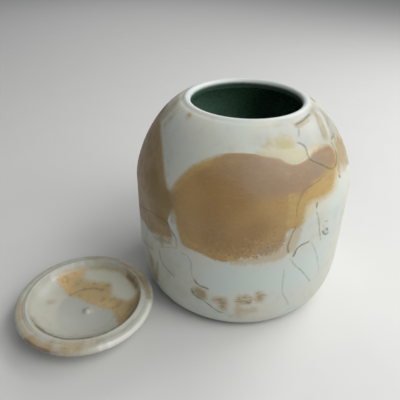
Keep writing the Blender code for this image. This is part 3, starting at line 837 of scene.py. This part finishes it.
class JarSheet(Sheet):
    """The jar's outside laid flat: across is the angle times the belly's radius, down is the distance
    walked down the outside from the top of the lip."""

    def __init__(self, jar, lip_row):
        walk = walk_along(jar.profile)
        walk = walk - walk[lip_row]
        super().__init__(jar.angle * BODY_RADIUS, walk[:, None] + np.zeros(jar.columns),
                         jar.radius / BODY_RADIUS, tau * BODY_RADIUS)
        outside = walk > 0.0
        self.outer_walk = walk[outside][::-1]
        self.outer_height = jar.profile[outside, 1][::-1]

    def down_at(self, height):
        """The walk down to a height on the outside."""
        return np.interp(height, self.outer_height, self.outer_walk)

    def seen(self, pixels):
        """Pixels of the view as places on the sheet."""
        places = seen_on("jar_body", pixels)
        from_front = (np.arctan2(places[:, 1], places[:, 0]) + pi / 2 + pi) % tau - pi
        return np.column_stack([(from_front - pi / 2) * BODY_RADIUS, self.down_at(places[:, 2])])

    def behind(self, marks):
        """Places given as degrees round the jar from +X and millimetres up, for the sides and back."""
        marks = np.array(marks, float)
        return np.column_stack([np.radians(marks[:, 0]) * BODY_RADIUS, self.down_at(marks[:, 1] * MM)])


class LidSheet(Sheet):
    """The lid seen from above as the sheet."""

    def seen(self, pixels):
        """Pixels of the view as places on the sheet."""
        return seen_on("lid", pixels)[:, :2]


class Tone:
    """A number or colour that a node of a glaze gives out. Sums, products and soft steps are tones too."""

    def __init__(self, paint, socket):
        self.paint = paint
        self.socket = socket

    def __add__(self, other):
        return self.paint.reckon("ADD", self, other)

    def __sub__(self, other):
        return self.paint.reckon("SUBTRACT", self, other)

    def __mul__(self, other):
        return self.paint.reckon("MULTIPLY", self, other)

    def ease(self, low, high, start=0.0, end=1.0):
        """A soft step: start below low, end above high, with the smooth curve 3t^2-2t^3 between."""
        node = self.paint.tree.nodes.new("ShaderNodeMapRange")
        node.interpolation_type = "SMOOTHSTEP"
        for name, value in (("Value", self), ("From Min", low), ("From Max", high),
                            ("To Min", start), ("To Max", end)):
            self.paint.set(node.inputs[name], value)
        return Tone(self.paint, node.outputs[0])


class Paint:
    """A glaze as nodes, laid down one call at a time."""

    def __init__(self, name):
        self.material = bpy.data.materials.new(name)
        self.material.use_nodes = True
        self.tree = self.material.node_tree
        self.place = Tone(self, self.tree.nodes.new("ShaderNodeTexCoord").outputs["Object"])

    def set(self, socket, value):
        """A socket takes a tone, a colour or a plain number."""
        if isinstance(value, Tone):
            self.tree.links.new(value.socket, socket)
        elif socket.type == "RGBA":
            socket.default_value = (*value, 1.0)
        else:
            socket.default_value = value

    def parts(self, vector):
        """The three numbers of a vector."""
        node = self.tree.nodes.new("ShaderNodeSeparateXYZ")
        self.set(node.inputs[0], vector)
        return [Tone(self, part) for part in node.outputs]

    def read(self, layer):
        """The three channels of a layer painted on the mesh."""
        node = self.tree.nodes.new("ShaderNodeAttribute")
        node.attribute_name = layer
        return self.parts(Tone(self, node.outputs["Vector"]))

    def mottle(self, size, detail=2.0, roughness=0.5, stretch=(1.0, 1.0, 1.0)):
        """Cloudy noise from 0 to 1 around one half, with clouds of about the given size."""
        spread = self.tree.nodes.new("ShaderNodeMapping")
        self.set(spread.inputs["Vector"], self.place)
        self.set(spread.inputs["Scale"], stretch)
        noise = self.tree.nodes.new("ShaderNodeTexNoise")
        for name, value in (("Vector", Tone(self, spread.outputs[0])), ("Scale", 1.0 / size),
                            ("Detail", detail), ("Roughness", roughness)):
            self.set(noise.inputs[name], value)
        return Tone(self, noise.outputs["Fac"])

    def mottles(self, cloud, blush, fray, grit, pepper):
        """The five mottlings that a glaze is made of, from wide clouds down to fine grit and dots."""
        return (self.mottle(cloud, 3.0), self.mottle(blush, 3.0), self.mottle(fray, 3.0, 0.6),
                self.mottle(grit, 2.0, 0.6), self.mottle(pepper, 1.0))

    def reckon(self, operation, *values):
        """Arithmetic on tones and numbers."""
        node = self.tree.nodes.new("ShaderNodeMath")
        node.operation = operation
        for socket, value in zip(node.inputs, values):
            self.set(socket, value)
        return Tone(self, node.outputs[0])

    def coats(self, colour, *coats):
        """A colour with others laid over it in turn, each by its own cover from 0 to 1."""
        for above, cover in coats:
            node = self.tree.nodes.new("ShaderNodeMix")
            node.data_type = "RGBA"
            lower, upper = (socket for socket in node.inputs if socket.type == "RGBA")
            self.set(node.inputs["Factor"], cover)
            self.set(lower, colour)
            self.set(upper, above)
            colour = Tone(self, next(socket for socket in node.outputs if socket.type == "RGBA"))
        return colour

    def finish(self, colour, roughness, height):
        """The shader's colour and roughness, and a relief whose height is in metres."""
        bump = self.tree.nodes.new("ShaderNodeBump")
        shader = self.tree.nodes["Principled BSDF"]
        for socket, value in ((bump.inputs["Distance"], 1.0), (bump.inputs["Strength"], 1.0),
                              (bump.inputs["Height"], height), (shader.inputs["Base Color"], colour),
                              (shader.inputs["Roughness"], roughness),
                              (shader.inputs["Normal"], Tone(self, bump.outputs[0]))):
            self.set(socket, value)
        return self.material


def celadon_glaze():
    """Pale grey-green glaze with tan pours, blots and dark crackle lines, over smoked bare clay."""
    paint = Paint("celadon raku glaze")
    tan_depth, umber_depth, ochre_depth = paint.read("pour_depth")
    blot_depth, smear_depth, cream_depth = paint.read("mark_depth")
    deep, golden, smoky = paint.read("tint")
    olive, beige_and_highlight, rosy = paint.read("shade")
    # The bloom layer: the rim's white, rust, and painted highlights
    rim, rust, painted_highlight = paint.read("bloom")
    clay, soft, ragged = paint.read("edges")
    cool, painted_shade, dark_marks_and_shade = paint.read("cast")
    run = paint.read("run")[0]
    across = paint.parts(paint.place)[0]
    cloud, blush, fray, grit, pepper = paint.mottles(*JAR_MOTTLES)
    streak = paint.mottle(STREAK_SIZE, 3.0, 0.6, STREAK_STRETCH)
    jitter, crumb, drift = fray - 0.5, pepper - 0.5, blush - 0.5

    glaze = paint.coats(
        GLAZE_COOL,
        (GLAZE_WARM, cloud.ease(0.38, 0.62)),
        (GLAZE_SHADE, blush.ease(0.5, 0.75) * 0.4),
        (GLAZE_MINT, (cool + jitter * 0.3).ease(0.0, 1.0) * 0.9),
        # Painted shade over the shoulder and the lower left
        (GLAZE_PAINTED_SHADE, (painted_shade + drift * 0.5).ease(0.0, 1.2)),
        # Painted highlight on the fold's ridge
        (PAINTED_HIGHLIGHT, (painted_highlight + jitter * 0.5).ease(0.15, 0.95) * 0.85),
        (HALO, (golden + jitter * 0.5).ease(0.05, 0.8) * 0.7),
        # Olive and beige tones, with painted shade in the fold grooves and creases and a painted highlight on
        # a fold ridge
        (OLIVE, (olive + drift * 0.5 + jitter * 0.6).ease(0.1, 1.15) * 0.8),
        (BEIGE, (beige_and_highlight + jitter * 0.9 + crumb * ragged * 0.7).ease(0.15, 1.05) * 0.85),
        (RIM_WHITE, rim))

    # The pours: where the edge is soft, the step in from it is wide, and where it is ragged, it wanders
    wander = jitter * (ragged * 3.6 + soft * 2.0 + 0.8) + crumb * (ragged * 4.5 + soft * 2.0)
    tan_edge, umber_edge = tan_depth + wander, umber_depth + wander
    low, high = soft * -2.7 - 0.3, soft * 2.7 + 0.6
    tan = paint.coats(
        TAN,
        (TAN_DEEP, (deep + streak * 0.6).ease(0.3, 1.2)),
        (TAN_ROSY, (rosy + streak * 0.6).ease(0.4, 1.3)),
        (OCHRE, (golden + blush * 0.5).ease(0.35, 1.2)),
        (SMOKE, (smoky + jitter * 1.6).ease(0.2, 1.1) * 0.6),
        (TAN_PALE, streak.ease(0.5, 0.74) * 0.15),
        (TAN_DEEP, streak.ease(0.5, 0.3) * 0.25),
        (TAN_DEEP, grit.ease(0.5, 0.72) * 0.25),
        (TAN_PALE, fray.ease(0.54, 0.72) * (ragged * 0.45 + 0.06)),
        (TAN_SPECK, pepper.ease(0.58, 0.74) * (ragged * 0.5 + 0.18)),
        (OCHRE, tan_edge.ease(2.4, 0.6) * 0.28))
    umber = paint.coats(
        UMBER,
        (UMBER_DEEP, blush.ease(0.4, 0.68)),
        (UMBER_LOW, (deep + drift * 0.5).ease(0.1, 1.0)),
        (TAN_PALE, fray.ease(0.54, 0.74) * (ragged * 0.5 + 0.12)),
        (OLIVE, (olive + jitter * 0.5).ease(0.2, 1.0) * 0.7),
        (TAN_SPECK, pepper.ease(0.6, 0.74) * (ragged * 0.5 + 0.15)))
    ochre = paint.coats(
        OCHRE_SOFT,
        (TAN_ROSY, blush.ease(0.4, 0.65) * 0.5),
        (TAN_SPECK, pepper.ease(0.62, 0.74) * 0.3))
    ochre_edge = ochre_depth + jitter * 2.4 + drift * 4.0

    blot = paint.coats(
        BLOT,
        (BLOT_EDGE, (blot_depth * 0.12 + blush).ease(0.5, 0.85)),
        (HALO, (streak + jitter * 0.5).ease(0.46, 0.64) * 0.75))
    # The dark glass carried up inside the neck, with painted shade to black towards +X and deeper into the
    # mouth
    glass_with_painted_shade = paint.coats(
        LINER_DARK,
        (LINER_PAINTED_SHADE, across.ease(*RUN_SHADE)),
        (LINER_PAINTED_SHADE, run.ease(0.2, 1.8, 0.0, 0.8)))
    bare = paint.coats(CLAY, (CLAY_DARK, blush.ease(0.35, 0.65)))
    clay_edge = (clay + jitter * 1.2).ease(-0.2, 0.2)

    # A crackle line is thin where its own mottle says so, and fades in and out along its way
    fade_size, stray_size, width_size = CRACKLE_MOTTLES
    fade = paint.mottle(fade_size, 1.0).ease(0.32, 0.52, 0.55, 1.0)
    stray = (paint.mottle(stray_size) - 0.5) * 0.9
    width = paint.mottle(width_size, 1.0).ease(0.35, 0.65, 0.6, 1.1)
    lines = 0.0
    for side, firm in zip(paint.read("crackle_side"), paint.read("crackle_firm")):
        gap = paint.reckon("DIVIDE", paint.reckon("ABSOLUTE", side + stray), width)
        lines = paint.reckon("MAXIMUM", gap.ease(1.4, 0.1) * firm, lines)
    lines = lines * fade

    colour = paint.coats(
        glaze,
        (tan, tan_edge.ease(low, high)),
        (umber, umber_edge.ease(low, high)),
        (ochre, ochre_edge.ease(soft * -4.0 - 0.6, soft * 3.0 + 1.0) * 0.85),
        (SMEAR, (smear_depth + jitter * 5.0 + drift * 6.0).ease(-3.4, 4.4) * 0.85),
        (CREAM, (cream_depth + jitter * 2.0).ease(-0.9, 1.5) * 0.9),
        (blot, (blot_depth + jitter * 4.0 + drift * 3.0).ease(-2.4, 2.0) * 0.82),
        (RUST, (rust + jitter * 0.8).ease(0.2, 1.0) * 0.75),
        # The painted highlights again, where their strokes are strongest
        (PAINTED_HIGHLIGHT, (painted_highlight + jitter * 0.5).ease(0.6, 1.1) * 0.5),
        (TAN_SPECK, grit.ease(0.68, 0.78) * 0.2),
        # Dark marks, and painted shade in the crease at the lip's right and down the lower left
        (DARK_MARK_AND_SHADE, (dark_marks_and_shade + jitter * 0.4).ease(0.1, 1.0) * 0.75),
        # Crackle lines; along the crease at the lip's right their dark is painted shade
        (CRACKLE_AND_CREASE_SHADE, lines * 0.7),
        (glass_with_painted_shade, (run + jitter * 0.8).ease(-1.4, 0.9)),
        (bare, clay_edge))
    poured = paint.reckon("MAXIMUM", tan_edge, umber_edge).ease(-0.2, 0.8)
    roughness = blush.ease(0.3, 0.7, 0.36, 0.46) + poured * 0.05 + clay_edge * 0.4
    height = (cloud * 0.25 + fray * 0.04 + grit * 0.01 + ragged * pepper * 0.06 - lines * 0.28
              + clay_edge * grit * 0.05) * MM
    return paint.finish(colour, roughness, height)


def bottle_green_glaze():
    """Dark glossy glass, a little lighter where it runs thin, with faint rings. Painted light makes it
    lighter towards -X, and painted shade turns it to black towards +X and at its top edge.
    """
    paint = Paint("dark green liner glaze")
    pool_size, fine_size = LINER_MOTTLES
    pool, fine = paint.mottle(pool_size, 3.0), paint.mottle(fine_size)
    across = paint.parts(paint.place)[0]
    edge = paint.read("edge")[0].ease(-0.6, -0.1)
    colour = paint.coats(
        LINER_DARK,
        # Lighter where its pools run thin, and painted light towards -X
        (LINER_THIN_AND_LIT, (pool * 0.25 + fine * 0.05 - across * 7.0 + 0.14).ease(0.05, 0.6)),
        # Painted shade to black towards +X, and at the top edge
        (LINER_PAINTED_SHADE, across.ease(*LINER_SHADE)),
        (LINER_PAINTED_SHADE, edge))
    roughness = fine.ease(0.3, 0.7, 0.22, 0.34) + edge * 0.66
    return paint.finish(colour, roughness, (pool * 0.15 + fine * 0.008) * MM)


def lid_glaze():
    """The jar's pale glaze on the lid, with a brown pour across the bowl and soft sweeps on the flange.
    Painted highlights lie on the lit slope, crest, edge and nub, and painted shade in the bowl and along its
    creases.
    """
    paint = Paint("lid raku glaze")
    brown_depth, grey_depth, bowl = paint.read("pour_depth")
    tan, olive, russet = paint.read("flange")
    dark_marks_and_shade, golden, painted_highlight = paint.read("tint")
    tan_marks_and_shade, painted_bowl_shade, floor = paint.read("patch")
    clay = paint.read("bare")[0]
    cloud, blush, fray, grit, pepper = paint.mottles(*LID_MOTTLES)
    jitter, drift = fray - 0.5, blush - 0.5
    unevenness = drift * 0.45 + jitter * 0.3

    brown = paint.coats(
        LID_BROWN,
        (LID_AMBER, (golden + blush * 0.5).ease(0.35, 1.3)),
        (TAN_SPECK, pepper.ease(0.63, 0.74) * 0.16),
        (TAN_PALE, fray.ease(0.54, 0.74) * 0.3),
        (TAN_DEEP, blush.ease(0.5, 0.32) * 0.35))
    band = paint.coats(
        LID_TAN,
        (LID_ORANGE, (golden + fray * 0.5).ease(0.45, 1.3)),
        (TAN_DEEP, pepper.ease(0.56, 0.7) * 0.4),
        (HALO, fray.ease(0.54, 0.68) * 0.4))
    bare = paint.coats(CLAY, (CLAY_DARK, blush.ease(0.35, 0.65)))
    clay_edge = (clay + jitter).ease(-0.2, 0.2)
    colour = paint.coats(
        LID_PALE,
        (LID_GREEN, cloud.ease(0.38, 0.62)),
        (GLAZE_SHADE, blush.ease(0.48, 0.72) * 0.5),
        (LID_FLOOR, floor),
        # Painted highlights where the lid faces the lamps
        (LID_PAINTED_HIGHLIGHT, (painted_highlight + unevenness * 0.4).ease(0.1, 1.0)),
        # Tan marks, and soft painted shade along the crease under the near crest
        (LID_TAN, (tan_marks_and_shade + unevenness).ease(0.15, 1.0) * 0.8),
        (brown, (brown_depth + jitter * 2.4 + drift * 3.0).ease(-1.8, 2.4) * bowl),
        (LID_GREY, (grey_depth + jitter * 3.0 + drift * 4.0).ease(-3.0, 3.0) * bowl * 0.92),
        # Painted shade on the bowl's right wall and round its floor
        (LID_PAINTED_SHADE, (painted_bowl_shade + unevenness).ease(0.1, 1.15) * 0.66),
        (band, (tan + unevenness).ease(0.1, 1.0) * 0.9),
        (OLIVE, (olive + unevenness).ease(0.1, 1.0) * 0.7),
        (LID_RUSSET, (russet + unevenness).ease(0.15, 1.0) * 0.8),
        (TAN_SPECK, grit.ease(0.68, 0.76) * 0.25),
        # Painted shade: the dark line under the near crest
        (CRACKLE_AND_CREASE_SHADE, (dark_marks_and_shade + jitter * 0.5).ease(0.15, 1.0) * 0.8),
        (bare, clay_edge))
    roughness = blush.ease(0.3, 0.7, 0.33, 0.45) + clay_edge * 0.4
    return paint.finish(colour, roughness, (cloud * 0.2 + fray * 0.045 + grit * 0.012) * MM)


def pale_paper():
    """The pale matt sheet that the pieces stand on, with a very faint unevenness."""
    paint = Paint("pale paper")
    tone_size, relief_size = PAPER_MOTTLES
    colour = paint.coats(PAPER, (PAPER_LIGHT, paint.mottle(tone_size, 3.0)))
    return paint.finish(colour, PAPER_ROUGHNESS, paint.mottle(relief_size) * PAPER_RELIEF)


def thrown_rings(walk, seed):
    """The faint rings of throwing: sines of the walk whose pace and depth drift slowly."""
    drift = np.random.default_rng(seed).uniform(0.0, tau, 3)
    pace = walk / RING_SPACING + RING_PACE_SWAY * np.sin(walk / RING_PACE_DRIFT + drift[0])
    depth = RING_DEPTH * (1.0 + RING_DEPTH_SWAY * np.sin(walk / RING_DEPTH_DRIFT + drift[1]))
    return depth * np.sin(pace * tau + drift[2])


def hand_wobble(angle, walk, seed):
    """The soft unevenness of a hand-thrown wall, from -1 to 1: sines of a count times the angle, plus the
    walk over a length, plus a phase, each by its share, over the sum of the shares."""
    phases = np.random.default_rng(seed).uniform(0.0, tau, len(WOBBLE_WAVES))
    waves = sum(share * np.sin(count * angle + walk / length + phase)
                for (share, count, length), phase in zip(WOBBLE_WAVES, phases))
    return waves / sum(share for share, _, _ in WOBBLE_WAVES)


def eased(values, low, high):
    """The smooth step 3t^2-2t^3 from 0 at low to 1 at high."""
    t = np.clip((values - low) / (high - low), 0.0, 1.0)
    return t * t * (3.0 - 2.0 * t)


def cracks_behind(sheet):
    """Wandering crackle lines for the sides and back, in three lots: each line turns a little, by chance,
    at every step, and keeps to its own place round the jar."""
    chance = np.random.default_rng(BACK_CRACK_SEED)
    lots = []
    for places in BACK_CRACK_DEGREES:
        lines = []
        for degrees, height in zip(places, BACK_CRACK_HEIGHTS):
            steps = int(chance.integers(*BACK_CRACK_STEPS))
            heading = chance.uniform(0.0, tau) + np.cumsum(chance.normal(0.0, BACK_CRACK_TURN, steps))
            degrees = degrees + chance.uniform(-BACK_CRACK_STRAY_DEGREES, BACK_CRACK_STRAY_DEGREES)
            height = height + chance.uniform(-BACK_CRACK_STRAY_HEIGHT, BACK_CRACK_STRAY_HEIGHT)
            start = np.array([radians(degrees) * BODY_RADIUS, sheet.down_at(height)])
            path = np.cumsum(np.column_stack([np.cos(heading), np.sin(heading)]) * BACK_CRACK_STEP, axis=0)
            lines.append((chance.uniform(*BACK_CRACK_STRENGTHS), softened(start + path)))
        lots.append(lines)
    return lots


def layer(*channels):
    """Three grids side by side, as one vector layer. A missing one is nought."""
    blank = np.zeros(channels[0].shape)
    return np.stack([*channels, *[blank] * (3 - len(channels))], axis=-1)


def make_jar():
    """The jar's clay and glaze: the thrown body with its layers of paint, and its own low relief."""
    glaze_line = JAR_HEIGHT - GLAZE_LINE_DEPTH
    hidden = offset(walked(inside_profile(glaze_line), HIDDEN_STEP), LINER_THICKNESS + SEAT_GAP)
    edge = [(MOUTH_RADIUS, glaze_line), (MOUTH_RADIUS, glaze_line + EDGE_STEP)]
    lip = walked(lip_profile(), LIP_STEP)
    under = walked(np.array([(FOOT_RADIUS, 0.0), (0.0, 0.0)]), HIDDEN_STEP)
    jar = Thrown(joined(hidden, edge, lip, walked(outer_profile(), FINE_STEP), under), JAR_COLUMNS)
    sheet = JarSheet(jar, len(hidden) + len(edge) + len(lip) // 2)

    def deepest(*outlines):
        """How deep each point lies inside the outline that it lies deepest in."""
        return np.max([sheet.depth_in(softened(outline, closed=True)) for outline in outlines], axis=0)

    tan = deepest(sheet.seen(TAN_POUR_PX))
    umber = deepest(np.vstack([sheet.seen(UMBER_POUR_PX), sheet.behind(UMBER_POUR_BEHIND)]))
    ochre = deepest(np.vstack([sheet.seen(OCHRE_LOBE_PX), sheet.behind(OCHRE_LOBE_BEHIND)]),
                    sheet.behind(BACK_POUR_BEHIND))
    blot = deepest(*map(sheet.seen, BLOTS_PX), *map(sheet.behind, BLOTS_BEHIND))
    smear = deepest(sheet.seen(SMEAR_PX))
    cream = deepest(sheet.seen(CREAM_LAP_PX))

    lots = [[(strength, softened(sheet.seen(line))) for strength, line in lot] for lot in CRACKLE_PX]
    sides, firms = zip(*(sheet.beside(seen + behind, CRACKLE_REACH, CRACKLE_END_FADE)
                         for seen, behind in zip(lots, cracks_behind(sheet))))
    fold = 0.0
    for height, pixels in FOLDS_PX:
        side, firm = sheet.beside([(height, softened(sheet.seen(pixels)))], FOLD_REACH, FOLD_END_FADE)
        fold = fold + MM * np.exp(-(side / FOLD_WIDTH)**2) * firm

    on_outside = eased(sheet.down, 0.0, SHOULDER_FADE) * eased(jar.height, 0.0, FOOT_FADE)
    relief = thrown_rings(sheet.down, JAR_RING_SEED)
    relief = relief + WOBBLE * (hand_wobble(jar.angle, sheet.down, JAR_WOBBLE_SEED) - 1.0)
    relief = relief + POUR_THICKNESS * (eased(np.max([tan, umber, ochre], axis=0), *POUR_RISE) - 1.0)
    relief = relief + CREAM_THICKNESS * eased(cream, *CREAM_RISE)
    groove = RIM_GROOVE_DEPTH * np.exp(-((sheet.down - RIM_GROOVE_WALK) / RIM_GROOVE_WIDTH)**2)
    jar.swell(on_outside * relief + eased(sheet.down, *FOLD_FADE) * fold - groove)

    rim = eased(np.abs(sheet.down), RIM_BAND_END, RIM_BAND_FULL)
    run = np.where(sheet.down < 0.0, (JAR_HEIGHT - RUN_DEPTH - jar.height) / MM, FAR_OUTSIDE)
    clay = np.where(sheet.down > 0.0, (FOOT_LINE - jar.height) / MM, FAR_OUTSIDE)
    deep, golden, smoky, olive, beige_and_highlight, rosy, soft, ragged, rust, painted_highlight, cool, painted_shade, dark_marks_and_shade = map(sheet.strokes, (
        DEEP_STROKES, GOLDEN_STROKES, SMOKY_STROKES, OLIVE_AND_SHADE_STROKES, BEIGE_AND_HIGHLIGHT_STROKES, ROSY_STROKES, SOFT_STROKES,
        RAGGED_STROKES, RUST_STROKES, HIGHLIGHT_STROKES, COOL_STROKES, SHADE_STROKES, DARK_MARK_AND_SHADE_STROKES))
    return jar.piece("glazed_jar", celadon_glaze(), {
        "pour_depth": layer(tan, umber, ochre) / MM,
        "mark_depth": layer(blot, smear, cream) / MM,
        "tint": layer(deep, golden, smoky),
        "shade": layer(olive, beige_and_highlight, rosy),
        "bloom": layer(rim, rust, painted_highlight),
        "crackle_side": layer(*sides) / MM,
        "crackle_firm": layer(*firms),
        "edges": layer(clay, soft, ragged),
        "cast": layer(cool, painted_shade, dark_marks_and_shade),
        "run": layer(run)})


def make_liner():
    """The coat of dark glass inside the jar, with a face that shows and a back that lies in the rebate."""
    top = JAR_HEIGHT - GLAZE_LINE_DEPTH - SEAT_GAP
    face = walked(inside_profile(top), LINER_STEP)
    near_edge = [(MOUTH_RADIUS, top - EDGE_STEP)]
    profile = joined(face[:-1], near_edge, face[-1:], offset(face, LINER_THICKNESS)[::-1])
    liner = Thrown(profile, LINER_COLUMNS)
    return liner.piece("dark_liner", bottle_green_glaze(), {"edge": layer((liner.height - top) / MM)})


def make_lid():
    """The lid where it lies on the table, with its layers of paint and a little glaze in the channel."""
    top = walked(lid_top_profile(), LID_STEP)
    profile = joined(top, walked(lid_under_profile(), LID_UNDER_STEP))
    lid = Thrown(profile, LID_COLUMNS, LID_CENTRE)
    place = lid.points()
    sheet = LidSheet(place[..., 0], place[..., 1])
    brown, grey = (sheet.depth_in(softened(sheet.seen(outline), closed=True)) / MM
                   for outline in (LID_BROWN_PX, LID_GREY_PX))
    tan, olive, russet, dark_marks_and_shade, golden, painted_highlight, tan_marks_and_shade, painted_bowl_shade = map(sheet.strokes, (
        LID_TAN_STROKES, LID_OLIVE_STROKES, LID_RUSSET_STROKES, LID_CREASE_SHADE_STROKES, LID_GOLDEN_STROKES,
        LID_HIGHLIGHT_STROKES, LID_TAN_MARK_AND_SHADE_STROKES, LID_SHADE_STROKES))

    walk = walk_along(profile)[:, None] + np.zeros(LID_COLUMNS)
    brim = walk_along(top)[-1]
    channel = CHANNEL_FILL * np.exp(-((lid.radius - CHANNEL_RADIUS) / CHANNEL_WIDTH)**2)
    relief = LID_RING_SHARE * thrown_rings(walk, LID_RING_SEED)
    relief = relief + LID_WOBBLE * (hand_wobble(lid.angle, walk, LID_WOBBLE_SEED) - 1.0)
    lid.swell(eased(lid.height, *LID_UNEVEN_FADE) * relief)
    on_flange = (walk < brim) & (lid.height > LID_HEIGHT - LID_EDGE_THICKNESS / 2)
    lid.height = lid.height + np.where(on_flange, channel, 0.0)

    on_top = eased(walk, brim - LID_PAINT_END, brim - LID_PAINT_FULL)
    below_top = eased(LID_HEIGHT - lid.height, *BOWL_PAINT_DEPTHS)
    bowl = np.where(lid.radius < CREST_RADIUS, below_top, 0.0) * on_top
    # Where the painted shade may lie: inside the crest
    inside = eased(lid.radius, CREST_RADIUS + BOWL_SHADE_OUT, CREST_RADIUS - BOWL_SHADE_IN) * on_top
    floor = eased(lid.radius, BOWL_FLOOR_RADIUS + FLOOR_TONE_OUT, BOWL_FLOOR_RADIUS - FLOOR_TONE_IN) * on_top
    clay = np.where(walk < brim, FAR_OUTSIDE, (LID_FOOT_LINE - lid.height) / MM)
    return lid.piece("glazed_lid", lid_glaze(), {
        "pour_depth": layer(brown, grey, bowl),
        "flange": layer(tan * on_top, olive * on_top, russet * on_top),
        "tint": layer(dark_marks_and_shade * on_top, golden * on_top, painted_highlight * on_top),
        "patch": layer(tan_marks_and_shade * on_top, painted_bowl_shade * inside, floor),
        "bare": layer(clay)})


def make_floor():
    """The pale sheet under the pieces. It is the stage, not part of the jar."""
    mesh = bpy.data.meshes.new("floor")
    corners = [(-1, -1), (1, -1), (1, 1), (-1, 1)]
    mesh.from_pydata([(x * FLOOR_REACH, y * FLOOR_REACH, 0.0) for x, y in corners], [], [(0, 1, 2, 3)])
    floor = bpy.data.objects.new("floor", mesh)
    bpy.context.scene.collection.objects.link(floor)
    mesh.materials.append(pale_paper())


def light_studio():
    """A dim even room and soft square lamps, each turned to face its aim."""
    world = bpy.data.worlds.new("studio")
    bpy.context.scene.world = world
    world.use_nodes = True
    room = world.node_tree.nodes["Background"].inputs
    room["Color"].default_value = (*ROOM_COLOUR, 1.0)
    room["Strength"].default_value = ROOM_STRENGTH
    for name, place, aim, size, power, colour in LAMPS:
        light = bpy.data.lights.new(name, "AREA")
        light.size, light.energy, light.color = size, power, colour
        lamp = bpy.data.objects.new(name, light)
        bpy.context.scene.collection.objects.link(lamp)
        lamp.location = place
        lamp.rotation_euler = (Vector(aim) - Vector(place)).to_track_quat("-Z", "Y").to_euler()
    bpy.context.scene.view_settings.view_transform = "Standard"


make_camera()
jar = make_jar()
liner = make_liner()
lid = make_lid()
for piece, body, slot, node in ((jar, "jar", "celadon_glaze", "jar_body"),
                                (liner, "jar", "liner_glaze", "liner_glaze"),
                                (lid, "lid", "lid_glaze", "lid")):
    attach(piece, body)
    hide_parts(node)
make_floor()
light_studio()
